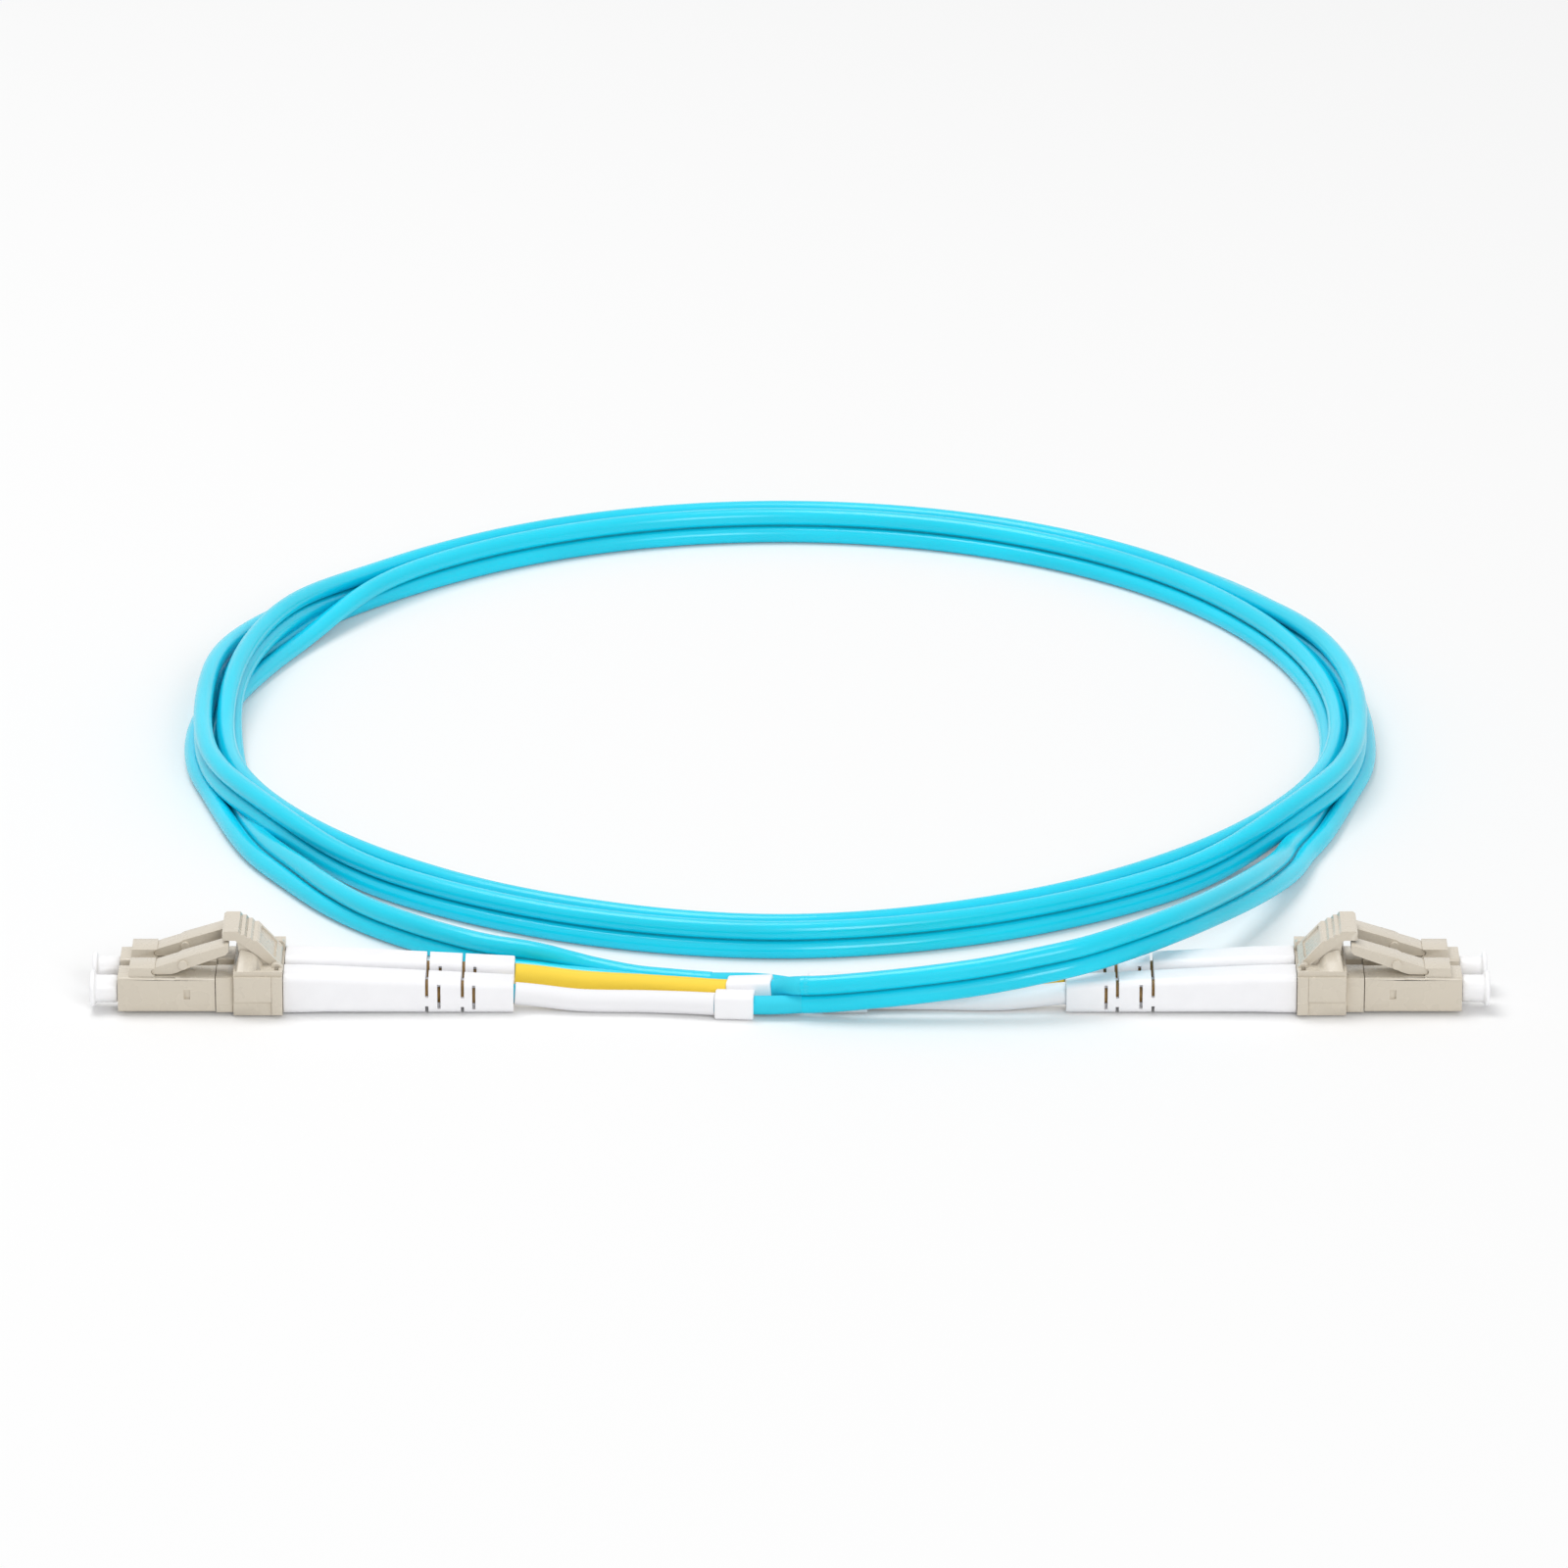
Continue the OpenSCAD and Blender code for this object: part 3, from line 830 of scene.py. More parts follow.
@dataclass
class Studio:
    """Camera, floor, world and lamps."""

    aim: Point = (-0.73, 75.0, 0.0)
    distance: float = 1500.0
    elevation: float = 20.85
    lens: float = 265.1
    sensor: float = 36.0
    clip: Span = (0.1, 20.0)
    floor_size: float = 4.0
    floor_tone: float = 0.9
    floor_roughness: float = 0.9
    world_strength: float = 0.55
    shadow_share: float = 0.9

    # name, place, aim, size and watts, in metres
    lamps = (
        ("top_softbox", (-0.3, 0.25, 1.2), (0, 0.07, 0), 0.7, 7.4),
        ("front_softbox", (0.45, -1.3, 0.8), (0, 0.05, 0), 0.6, 7.2),
    )

    def camera(self) -> None:
        """Stands the camera in front of the cord, looking down at it."""
        data = bpy.data.cameras.new("studio_camera")
        data.lens = self.lens
        data.sensor_width = self.sensor
        data.clip_start, data.clip_end = self.clip
        obj = bpy.data.objects.new("studio_camera", data)
        bpy.context.collection.objects.link(obj)
        angle = math.radians(self.elevation)
        offset = Vector((0, -math.cos(angle), math.sin(angle))) * self.distance
        obj.location = (Vector(self.aim) + offset) * MM
        obj.rotation_euler = (math.pi / 2 - angle, 0, 0)
        bpy.context.scene.camera = obj

    @staticmethod
    def seen_directly(tree: bpy.types.NodeTree) -> bpy.types.NodeSocket:
        """1 for rays that show the background itself, in the view or in a reflection.

        Args:
            tree: The node tree to add to.

        Returns:
            The socket with that value.
        """
        rays = tree.nodes.new("ShaderNodeLightPath")
        total = rays.outputs["Is Camera Ray"]
        for name in ("Is Glossy Ray", "Is Transmission Ray"):
            either = tree.nodes.new("ShaderNodeMath")
            either.operation = "MAXIMUM"
            tree.links.new(total, either.inputs[0])
            tree.links.new(rays.outputs[name], either.inputs[1])
            total = either.outputs[0]
        return total

    def floor(self) -> None:
        """Lays a pale floor that keeps the cord's shadow on a white ground."""
        Bench.clear()
        bpy.ops.mesh.primitive_plane_add(size=self.floor_size)
        obj = bpy.context.object
        obj.name = "studio_floor"
        board = NodeBoard("studio_floor")
        board.tune(Base_Color=(*[self.floor_tone] * 3, 1), Roughness=self.floor_roughness,
                   Specular_IOR_Level=0)
        glow = board.node("Emission", Strength=1.0)
        both = board.node("MixShader")
        share = board.node("Math", operation="MULTIPLY")
        share.inputs[1].default_value = 1 - self.shadow_share
        board.link(self.seen_directly(board.tree), share.inputs[0])
        board.link(share.outputs[0], both.inputs[0])
        board.link(board.shader.outputs[0], both.inputs[1])
        board.link(glow.outputs[0], both.inputs[2])
        board.link(both.outputs[0], board.tree.nodes["Material Output"].inputs["Surface"])
        obj.data.materials.append(board.material)

    def world(self) -> None:
        """Sets an even pale sky, white where it is seen directly."""
        world = bpy.data.worlds.new("studio_world")
        world.use_nodes = True
        bpy.context.scene.world = world
        tree = world.node_tree
        back = tree.nodes["Background"]
        back.inputs["Color"].default_value = (1, 1, 1, 1)
        strength = tree.nodes.new("ShaderNodeMapRange")
        strength.inputs["To Min"].default_value = self.world_strength
        strength.inputs["To Max"].default_value = 1
        tree.links.new(self.seen_directly(tree), strength.inputs["Value"])
        tree.links.new(strength.outputs["Result"], back.inputs["Strength"])

    @staticmethod
    def lamp(name: str, place: Sequence[float], aim: Sequence[float], size: float,
             watts: float) -> None:
        """Hangs one soft square lamp.

        Args:
            name: Its name.
            place: Where it hangs, in metres.
            aim: The point that it faces, in metres.
            size: Side of its square, in metres.
            watts: Its power.
        """
        data = bpy.data.lights.new(name, "AREA")
        data.size = size
        data.energy = watts
        obj = bpy.data.objects.new(name, data)
        bpy.context.collection.objects.link(obj)
        obj.location = place
        obj.rotation_euler = (Vector(aim) - Vector(place)).to_track_quat("-Z", "Y").to_euler()

    def build(self) -> None:
        """Sets up the whole studio."""
        self.camera()
        self.floor()
        self.world()
        for lamp in self.lamps:
            self.lamp(*lamp)
        bpy.context.scene.view_settings.view_transform = "Standard"


# ---- cords ------------------------------------------------------------------------------------


def smooth_route(points: Sequence[Sequence[float]], step: float) -> Route:
    """A centripetal spline through points, read at even steps.

    Args:
        points: Places in millimetres as x, y, z and, if given, the roll in degrees.
        step: Distance between the points that come back.

    Returns:
        Points of four numbers: x, y, z and roll.
    """
    knots = [Vector((*point, 0.0)) if len(point) == 3 else Vector(point) for point in points]
    knots = [2 * knots[0] - knots[1], *knots, 2 * knots[-1] - knots[-2]]
    finer = 4
    dense: Route = []
    for i in range(1, len(knots) - 2):
        quad = knots[i - 1:i + 3]
        times = [0.0]
        for a, b in zip(quad, quad[1:]):
            times.append(times[-1] + math.sqrt((b.xyz - a.xyz).length))
        count = max(finer, round((quad[2].xyz - quad[1].xyz).length / step * finer))
        for j in range(count):
            t = times[1] + (times[2] - times[1]) * j / count
            row = list(quad)
            for depth in (1, 2, 3):
                row = [row[k].lerp(row[k + 1], spline_share(t, times, k, depth))
                       for k in range(4 - depth)]
            dense.append(row[0])
    dense.append(knots[-2])
    return even_steps(dense, step)


def spline_share(t: float, times: Sequence[float], k: int, depth: int) -> float:
    """How far along one span of the spline's pyramid a time lies.

    Args:
        t: The time.
        times: The four knots' times.
        k: Index of the span.
        depth: Level of the pyramid, from 1 to 3.

    Returns:
        The share, 0 at the span's start.
    """
    if depth == 1:
        start, stop = times[k], times[k + 1]
    elif depth == 2:
        start, stop = times[k], times[k + 2]
    else:
        start, stop = times[1], times[2]
    return (t - start) / (stop - start)


def even_steps(dense: Route, step: float) -> Route:
    """The same line read at even steps.

    Args:
        dense: A fine polyline.
        step: The wanted distance.

    Returns:
        The points, both ends among them.
    """
    least = 1e-9
    runs = distances(dense)
    count = max(2, round(runs[-1] / step))
    out: Route = []
    i = 0
    for n in range(count + 1):
        target = runs[-1] * n / count
        while i < len(runs) - 2 and runs[i + 1] < target:
            i += 1
        share = (target - runs[i]) / max(runs[i + 1] - runs[i], least)
        out.append(dense[i].lerp(dense[i + 1], min(1.0, share)))
    return out


def distances(route: Route) -> list[float]:
    """How far along a route each of its points lies, in millimetres."""
    runs = [0.0]
    for a, b in zip(route, route[1:]):
        runs.append(runs[-1] + (b.xyz - a.xyz).length)
    return runs


def sweep(name: str, route: Route, section: Outline,
          inner: Outline | None = None) -> bpy.types.Object:
    """Carries a closed section along a route, and closes both ends.

    Args:
        name: Name of the new object.
        route: Points in millimetres with their roll.
        section: The section as (across, up).
        inner: The bore's section where the tube is hollow, with as many points.

    Returns:
        The new object, with a UV map of metres round and along it.
    """
    rings = [section, inner] if inner else [section]
    corners = [corner for ring in rings for corner in carried(route, ring)]
    mesh = bpy.data.meshes.new(name)
    mesh.from_pydata(corners, [], tube_faces(len(route), len(section), bool(inner)))
    map_cord(mesh, route, section)
    obj = bpy.data.objects.new(name, mesh)
    bpy.context.collection.objects.link(obj)
    mesh.validate()
    return Bench.smooth(obj, 50)


def carried(route: Route, ring: Outline) -> list[Point]:
    """The corners of a section at each point of a route.

    Args:
        route: Points with their roll.
        ring: The section as (across, up).

    Returns:
        The corners, one section after the other.
    """
    corners = []
    for i, point in enumerate(route):
        before, after = route[max(i - 1, 0)], route[min(i + 1, len(route) - 1)]
        heading = (after.xyz - before.xyz).normalized()
        across = Vector((0, 0, 1)).cross(heading).normalized()
        up = heading.cross(across)
        roll = math.radians(point.w)
        for a, b in ring:
            turned = a * math.cos(roll) + b * math.sin(roll)
            risen = b * math.cos(roll) - a * math.sin(roll)
            corners.append(tuple(point.xyz + turned * across + risen * up))
    return corners


def tube_faces(rows: int, size: int, hollow: bool) -> list[tuple[int, ...]]:
    """The faces of a swept section, its ends closed.

    Args:
        rows: Points of the route.
        size: Points of the section.
        hollow: Whether the bore's corners follow the outer ones.

    Returns:
        The faces as indices of corners.
    """
    bore = rows * size
    last = bore - size
    faces = []
    for i in range(rows - 1):
        for j in range(size):
            a, b = i * size + j, i * size + (j + 1) % size
            faces.append((a, b, b + size, a + size))
            if hollow:
                c, d = a + bore, b + bore
                faces.append((c, c + size, d + size, d))
    if hollow:
        for j in range(size):
            k = (j + 1) % size
            faces.append((k, j, j + bore, k + bore))
            faces.append((last + j, last + k, last + k + bore, last + j + bore))
    else:
        faces.append(tuple(range(size))[::-1])
        faces.append(tuple(range(last, bore)))
    return faces


def map_cord(mesh: bpy.types.Mesh, route: Route, section: Outline) -> None:
    """Gives a swept mesh a UV map of metres round and along it.

    Args:
        mesh: The mesh.
        route: The route that it follows.
        section: Its outer section.
    """
    rows, size = len(route), len(section)
    runs = distances(route)
    girth = sum(math.dist(section[j], section[(j + 1) % size]) for j in range(size)) * MM
    layer = mesh.uv_layers.new(name="cord_map")
    for face in mesh.polygons:
        columns = [mesh.loops[i].vertex_index % size for i in face.loop_indices]
        wraps = 0 in columns and size - 1 in columns
        for i, column in zip(face.loop_indices, columns):
            row = (mesh.loops[i].vertex_index // size) % rows
            share = size if wraps and column == 0 else column
            layer.data[i].uv = (share / size * girth, runs[row] * MM)


def round_section(radius: float, sides: int) -> list[Span]:
    """A round section."""
    return arc((0, 0), radius, 0, 360 * (1 - 1 / sides), sides - 1)


def squared_section(width: float, corner: float, steps: int) -> list[Span]:
    """A square section with round corners.

    Args:
        width: Its width.
        corner: Radius of its corners.
        steps: Steps of each corner.

    Returns:
        The closed section.
    """
    flat = width / 2 - corner
    out = []
    for i, (x, z) in enumerate(((1, 1), (-1, 1), (-1, -1), (1, -1))):
        out += arc((x * flat, z * flat), corner, 90 * i, 90 * (i + 1), steps)
    return out


@dataclass
class ZipCord:
    """The joined pair of jackets: a lead to each plug and the coil between them.

    The coil runs two and a half turns. Two strands show on edge all the way round. The strand
    from the left lead slips beneath the outer one at the right side and lies flat behind them
    at the back, and the strand to the right lead passes beneath both at the left side.
    """

    jacket_d: float = 2.4
    centre: Span = (-1.2, 93.3)
    half_width: float = 74.1
    half_depth: float = 78.3
    step: float = 1.6

    # degrees: where the groove starts on a jacket, between points of the coil, between looks
    groove: float = 76.0
    turn_step: float = 4.0
    settle: float = 2.0
    looks = (-2, -1, 0, 1, 2)

    # points of the leads as x, y, z and roll
    lead_left = (
        (1.5, -5.95, 3.05, 0), (4, -6.3, 3.25, 0), (7, -6.6, 3.6, 0), (12, -6.6, 4.1, 0),
        (18, -6.5, 4.8, 0), (24, -6.2, 5.6, 0), (30, -5.6, 6.6, 0), (36, -4.0, 7.4, 0),
        (42, 0, 7.8, 0), (48, 6.4, 7.6, 0), (54, 16.5, 6.3, 6), (59.4, 28, 4.6, 20),
        (63.1, 39, 2.8, 42), (64.9, 46.6, 1.85, 64), (67.2, 53.4, 1.42, 80),
        (69.2, 60.5, 1.22, 88), (70.9, 66.9, 1.2, 90))
    lead_right = (
        (-73.3, 66.9, 1.2, 90), (-71.6, 60.5, 1.22, 88), (-69.6, 53.4, 1.42, 80),
        (-67.2, 46.5, 1.75, 64), (-63.1, 38.2, 2.1, 42), (-58.1, 29.1, 2.33, 20),
        (-53.0, 22.2, 2.4, 4), (-47.6, 17, 2.4, 0), (-42.6, 13.0, 2.4, 0),
        (-37.6, 9.7, 2.35, 8), (-32, 7.8, 2.1, 35), (-26, 6.2, 1.5, 72), (-20, 4.4, 1.2, 90),
        (-15, 3.0, 1.2, 90), (-10, 1.9, 1.2, 90))

    # rows of the coil as degrees along it, place outwards, lift and roll
    lay = (
        (-12, 2.2, 0, 90), (0, 1.25, 0, 90), (8, 1.25, 0, 90), (14, 1.9, 0, 90), (20, 2.8, 0, 90),
        (28, 3.4, 0, 90), (40, 3.5, 0, 90), (135, 3.5, 0, 90), (148, 3.3, 0, 60),
        (158, 2.8, 0.4, 30), (165, 2.2, 1.2, 10), (171, 1.65, 2.0, 0), (178, 1.35, 2.1, 0),
        (184, 1.5, 2.1, 0), (190, 2.1, 2.1, 0), (195, 2.6, 2.1, 0), (200, 2.7, 2.1, 0),
        (206, 2.1, 2.2, 0), (212, 1.7, 2.0, 0), (218, 1.35, 1.0, 2), (224, 1.0, 0.1, 8),
        (230, 0.8, 0, 12), (240, 0.5, 0, 12), (255, 0.6, 0, 12), (270, 1.05, 0, 8),
        (285, 0.6, 0, 12), (300, 0.5, 0, 12), (310, 0.8, 0, 12), (316, 1.0, 0.1, 8),
        (322, 1.35, 1.0, 2), (328, 1.7, 2.0, 0), (334, 2.1, 2.2, 0), (340, 2.7, 2.1, 0),
        (345, 2.6, 2.1, 0), (350, 2.1, 2.1, 0), (356, 1.5, 2.1, 0), (364, 1.2, 2.1, 0),
        (372, 0.7, 2.1, 0), (380, 0.4, 1.6, 0), (388, 0.2, 0.6, 0), (395, 0.15, 0, 0),
        (450, 0.15, 0, 0), (490, 0.1, 0, 0), (500, -0.1, 0.3, 0), (507, -0.4, 1.4, 0),
        (514, -0.9, 2.3, 0), (521, -1.3, 2.4, 0), (528, -1.6, 2.3, 0), (535, -1.8, 1.9, -6),
        (541, -1.9, 1.1, -20), (547, -1.8, 0.2, -31), (553, -1.4, 0, -25), (560, -1.0, 0, -12),
        (568, -1.3, 0, -3), (580, -2.0, 0, 0), (590, -2.45, 0, 0), (610, -2.45, 0, 0),
        (620, -1.9, 0, 0), (630, -1.45, 0, 0), (640, -1.9, 0, 0), (650, -2.45, 0, 0),
        (670, -2.45, 0, 0), (680, -2.0, 0, 0), (692, -1.3, 0, -3), (700, -1.0, 0, -12),
        (710, -1.3, 0, -25), (720, -1.8, 0, -31), (735, -2.3, 0, -20), (750, -2.65, 0, -12),
        (810, -2.9, 0, -12), (850, -2.85, 0, -8), (859, -2.8, 0, 12), (867, -2.6, 0, 55),
        (874, -2.3, 0, 88), (881, -1.7, 0, 90), (888, -0.9, 0, 90), (894, 0.2, 0, 90),
        (900, 1.25, 0, 90), (908, 2.0, 0, 90), (912, 2.2, 0, 90))

    def laid(self, t: float) -> list[float]:
        """How the cord lies at one place of the coil.

        It is read between the rows of the lay, at the place and at a few others close by on
        both sides, and averaged, so that it bends without corners.

        Args:
            t: Degrees along the coil.

        Returns:
            Its place outwards, its lift and its roll.
        """
        first, last = self.lay[0], self.lay[-1]
        total = [0.0, 0.0, 0.0]
        for look in self.looks:
            at = max(first[0], min(last[0], t + look * self.settle))
            k = next(i for i in range(1, len(self.lay)) if at <= self.lay[i][0])
            a, b = self.lay[k - 1], self.lay[k]
            share = (at - a[0]) / (b[0] - a[0])
            for n in range(3):
                total[n] += (a[n + 1] + (b[n + 1] - a[n + 1]) * share) / len(self.looks)
        return total

    def coil_point(self, t: float) -> tuple[float, float, float, float]:
        """A point of the coil.

        Args:
            t: Degrees along it, from the right side back.

        Returns:
            x, y, z and roll.
        """
        angle = math.radians(t)
        outwards, lift, roll = self.laid(t)
        out = Vector((math.cos(angle) / self.half_width,
                      math.sin(angle) / self.half_depth)).normalized() * outwards
        height = self.jacket_d / 2 * (1 + math.cos(math.radians(roll))) + lift
        return (self.centre[0] + self.half_width * math.cos(angle) + out.x,
                self.centre[1] + self.half_depth * math.sin(angle) + out.y, height, roll)

    def route(self) -> Route:
        """The whole cord from the left split to the right one.

        Returns:
            Its points with their roll.
        """
        start, stop = self.lay[0][0], self.lay[-1][0]
        turns = round((stop - start) / self.turn_step)
        coil = [self.coil_point(start + self.turn_step * i) for i in range(turns + 1)]
        return smooth_route([*self.lead_left, *coil, *self.lead_right], self.step)

    def section(self) -> list[Span]:
        """Two round jackets, one above the other, with the groove between them.

        Returns:
            The closed section.
        """
        radius = self.jacket_d / 2
        upper = arc((0, radius), radius, -self.groove, 180 + self.groove, 16)
        lower = arc((0, -radius), radius, 180 - self.groove, 360 + self.groove, 16)
        return upper + lower

    def build(self) -> None:
        route = self.route()
        cord = sweep("zip_cord", route, self.section())
        hand_over(cord, "zip_cord", Matrix.Identity(4), AQUA_PAIR,
                  nodes=("zip_lead_left", "zip_coil", "zip_lead_right"))


@dataclass
class Leg:
    """One split leg of the cord, with its coloured sleeve and its marker."""

    plug: PlugFrame
    end: End
    channel: Channel
    jacket_d: float = 2.36
    sleeve_d: float = 2.8
    sleeve_play: float = 0.04
    sleeve_round: float = 0.09
    marker_w: float = 3.1
    marker_corner: float = 0.5
    marker_play: float = 0.05
    marker_round: float = 0.22
    marker_inset: float = 0.3
    marker_knot: int = 6
    step: float = 0.8
    jacket_sides: int = 24
    sleeve_sides: int = 28

    routes = {
        (End.LEFT, Channel.FRONT): (
            (-26, -3.8, 1.45), (-18, -4.2, 1.45), (-12.5, -4.9, 1.55), (-9.5, -5.4, 1.6),
            (-4.1, -5.8, 1.6), (-2.4, -5.9, 1.65), (-0.4, -5.9, 1.72), (1.5, -5.95, 1.85),
            (2.8, -6.13, 1.95)),
        (End.LEFT, Channel.BACK): (
            (-26, 2.1, 1.55), (-18, 0.1, 1.85), (-12.5, -1.2, 2.0), (-7.7, -2.25, 2.1),
            (-2.4, -2.9, 2.5), (-1.3, -3.5, 2.95), (-0.2, -4.6, 3.6), (0.6, -5.5, 4.05),
            (1.5, -5.95, 4.25), (2.8, -6.13, 4.35)),
        (End.RIGHT, Channel.FRONT): (
            (26, -3.5, 1.45), (18, -3.3, 1.45), (13, -3.3, 1.5), (9.6, -3.4, 1.6),
            (4.2, -3.5, 1.6), (2.4, -3.0, 1.4), (0, -1.6, 1.2), (-2.4, 0.2, 1.2),
            (-4.6, 0.6, 1.15), (-7.4, 0.7, 1.15), (-10, 0.75, 1.15)),
        (End.RIGHT, Channel.BACK): (
            (26, 2.7, 1.45), (18, 1.6, 1.45), (12, 0.6, 1.5), (7.5, 0.0, 1.55),
            (2.1, 0.2, 1.55), (0.4, 0.8, 1.4), (-2, 2.2, 1.2), (-4.6, 2.9, 1.15),
            (-7.4, 3.0, 1.15), (-10, 3.05, 1.15)),
    }

    @property
    def tag(self) -> str:
        """The leg's name as the frame's nodes spell it."""
        return f"{self.end.tag}_{self.channel.tag}"

    def knots(self) -> list[tuple[float, ...]]:
        """The leg's own points: three in its boot's line, then its route.

        Returns:
            The points.
        """
        side = self.channel.value * self.plug.pitch / 2
        tail = self.plug.boot[1]
        starts = ((self.plug.post_end + 0.1, 0), (tail, 0), (tail + 3, 0.3))
        line = [(self.end.value * (self.plug.front_x - x), side,
                 self.plug.axis_z - self.plug.sag(x) - fall) for x, fall in starts]
        return line + list(self.routes[self.end, self.channel])

    def between(self, route: Route, first: Sequence[float], last: Sequence[float],
                trim: float = 0.0) -> Route:
        """The part of a route between two of its knots.

        Args:
            route: The route.
            first: The knot where the part starts.
            last: The knot where it ends.
            trim: How much is left out next to each of them, in millimetres.

        Returns:
            The part, at even steps.
        """
        marks = [min(range(len(route)), key=lambda i: (route[i].xyz - Vector(knot)).length)
                 for knot in (first, last)]
        skip = round(trim / self.step)
        return route[marks[0] + skip:marks[1] - skip + 1]

    def build(self) -> None:
        knots = self.knots()
        route = smooth_route(knots, self.step)
        jacket = sweep(f"leg_{self.tag}", route,
                       round_section(self.jacket_d / 2, self.jacket_sides))
        hand_over(jacket, f"leg_{self.tag}", Matrix.Identity(4), AQUA,
                  nodes=(f"leg_jacket_{self.tag}",))
        start, stop = knots[self.marker_knot:self.marker_knot + 2]
        sleeve = self.sleeve(self.between(route, knots[1], start))
        marker = self.marker(self.between(route, start, stop, self.marker_inset))

    def sleeve(self, route: Route) -> bpy.types.Object:
        """The coloured tube over the leg, its ends a little rounded.

        Args:
            route: The part of the leg that it covers.

        Returns:
            The sleeve.
        """
        outer = round_section(self.sleeve_d / 2, self.sleeve_sides)
        inner = round_section(self.jacket_d / 2 + self.sleeve_play, self.sleeve_sides)
        tube = sweep(f"sleeve_{self.tag}", route, outer, inner)
        Bench.soften(tube, self.sleeve_round, 2, 60)
        yellow = self.channel is Channel.BACK
        return hand_over(tube, f"sleeve_{self.tag}", Matrix.Identity(4),
                         YELLOW if yellow else WHITE,
                         nodes=(f"leg_sleeve_{self.tag}",))

    def marker(self, route: Route) -> bpy.types.Object:
        """The square marker sleeve, its edges rounded.

        Args:
            route: The part of the leg that it covers.

        Returns:
            The marker.
        """
        outer = squared_section(self.marker_w, self.marker_corner, 3)
        bore_r = self.jacket_d / 2 + self.marker_play
        inner = [tuple(Vector(point).normalized() * bore_r) for point in outer]
        tube = sweep(f"marker_{self.tag}", [route[0], route[-1]], outer, inner)
        Bench.soften(tube, self.marker_round, 3, 60)
        return hand_over(tube, f"marker_{self.tag}", Matrix.Identity(4), MARKER,
                         nodes=(f"id_marker_{self.tag}",))


# ---- plug -------------------------------------------------------------------------------------


@dataclass
class Plug:
    """One channel's plug: housing, latch arm, rear body, boot and dust cap."""

    frame: PlugFrame

    # housing: long edges, all other edges, bore and the pad that the arm is rooted in
    edge: float = 0.35
    soft: float = 0.1
    nose_r: float = 1.55
    nose_depth: float = 4.0
    ferrule_hole_r: float = 0.825
    pad_w: float = 3.7
    pad_x: Span = (1.2, 4.6)
    pad_rise: float = 1.14
    pad_root: float = 0.9
    knuckle_rise: float = 0.6
    knuckle_play: float = 0.05

    # latch arm: slopes in degrees, then the finger paddle and the locking ears
    arm_w: float = 3.0
    arm_t: float = 0.8
    arm_slope: float = 21.0
    arm_end: float = 13.7
    paddle_t: float = 1.2
    paddle_slope: float = 17.0
    paddle_x: float = 7.5
    ear_x: float = 8.1
    ear_w: float = 3.9
    ear_r: float = 0.56
    arm_soft: float = 0.11

    # rear body
    foot_out: float = 0.07
    neck_w: float = 4.1
    post_r: float = 1.35
    rear_soft: float = 0.09

    # boot: a slot's place is its distance before the tail, its heights are from the axis
    boot_tail_w: float = 4.05
    boot_corner: float = 1.0
    boot_soft: float = 0.14
    boot_bore_r: float = 1.5
    core_r: Span = (1.22, 1.45)
    slot: float = 0.4
    level_slots: Span = (10.7, 6.3)
    level_slot_z: Span = (-1.15, -0.05)
    side_slots: Span = (9.2, 4.9)
    side_slot_y: float = 1.1
    side_slot_z: Span = (-1.5, 1.65)

    # dust cap: how far it reaches out of the housing and into it
    cap_out: float = 3.5
    cap_in: float = 3.2
    cap_r: float = 1.7
    cap_bore_r: float = 0.675
    rim_t: float = 0.65
    rim_r: float = 2.225

    @property
    def half(self) -> float:
        """Half the housing's width."""
        return self.frame.body_w / 2

    @property
    def top_z(self) -> float:
        """Height of the housing's top."""
        return self.frame.axis_z + self.half

    @property
    def knuckle(self) -> Span:
        """The axis that the latch arm turns on, as (x, z)."""
        return self.pad_x[1], self.top_z + self.knuckle_rise

    def bar(self, x: Span, width: float, corner: float) -> bpy.types.Object:
        """A square bar with round long edges, on the ferrule's axis.

        Args:
            x: Where it starts and ends.
            width: Its width.
            corner: Size of its rounds.

        Returns:
            The bar.
        """
        half = width / 2
        z = self.frame.axis_z
        made = Bench.block(x, (-half, half), (z - half, z + half))
        Bench.round_long_edges(made, corner)
        return made

    def housing(self) -> bpy.types.Object:
        """The square nose with its bore, latch pad and side notch.

        Returns:
            The housing.
        """
        z = self.frame.axis_z
        pad_x0, pad_x1 = self.pad_x
        pad_top = self.top_z + self.pad_rise
        body = self.bar((0, self.frame.housing_len), self.frame.body_w, self.edge)
        root_z = self.top_z - self.pad_root
        pad = Bench.plate([(pad_x0, root_z), (pad_x0 + 0.25, pad_top), (pad_x1, pad_top),
                           (pad_x1, root_z)], (-self.pad_w / 2, self.pad_w / 2))
        Bench.boolean(body, [pad], "UNION")
        kx, kz = self.knuckle
        Bench.boolean(body, [
            Bench.rod((self.nose_depth / 2 - 0.5, 0, z), "X", self.nose_depth + 1, self.nose_r,
                      48),
            Bench.rod((self.nose_depth, 0, z), "X", 3, self.ferrule_hole_r),
            Bench.rod((kx, 0, kz), "Y", self.pad_w + 2, self.arm_t / 2 + self.knuckle_play),
        ])
        for side in SIDES:
            Bench.boolean(body, [self.edge_scoop(side), self.side_notch(side)])
        return Bench.soften(body, self.soft)

    def edge_scoop(self, side: int) -> bpy.types.Object:
        """The long shallow scoop in the top edge beside the latch arm's root.

        Args:
            side: -1 or 1 across.

        Returns:
            The cutter.
        """
        middle_x, out, length, radius = 5.85, 0.24, 2.5, 0.62
        return Bench.rod((middle_x, side * (self.half + out), self.top_z + out), "X", length,
                         radius, 24)

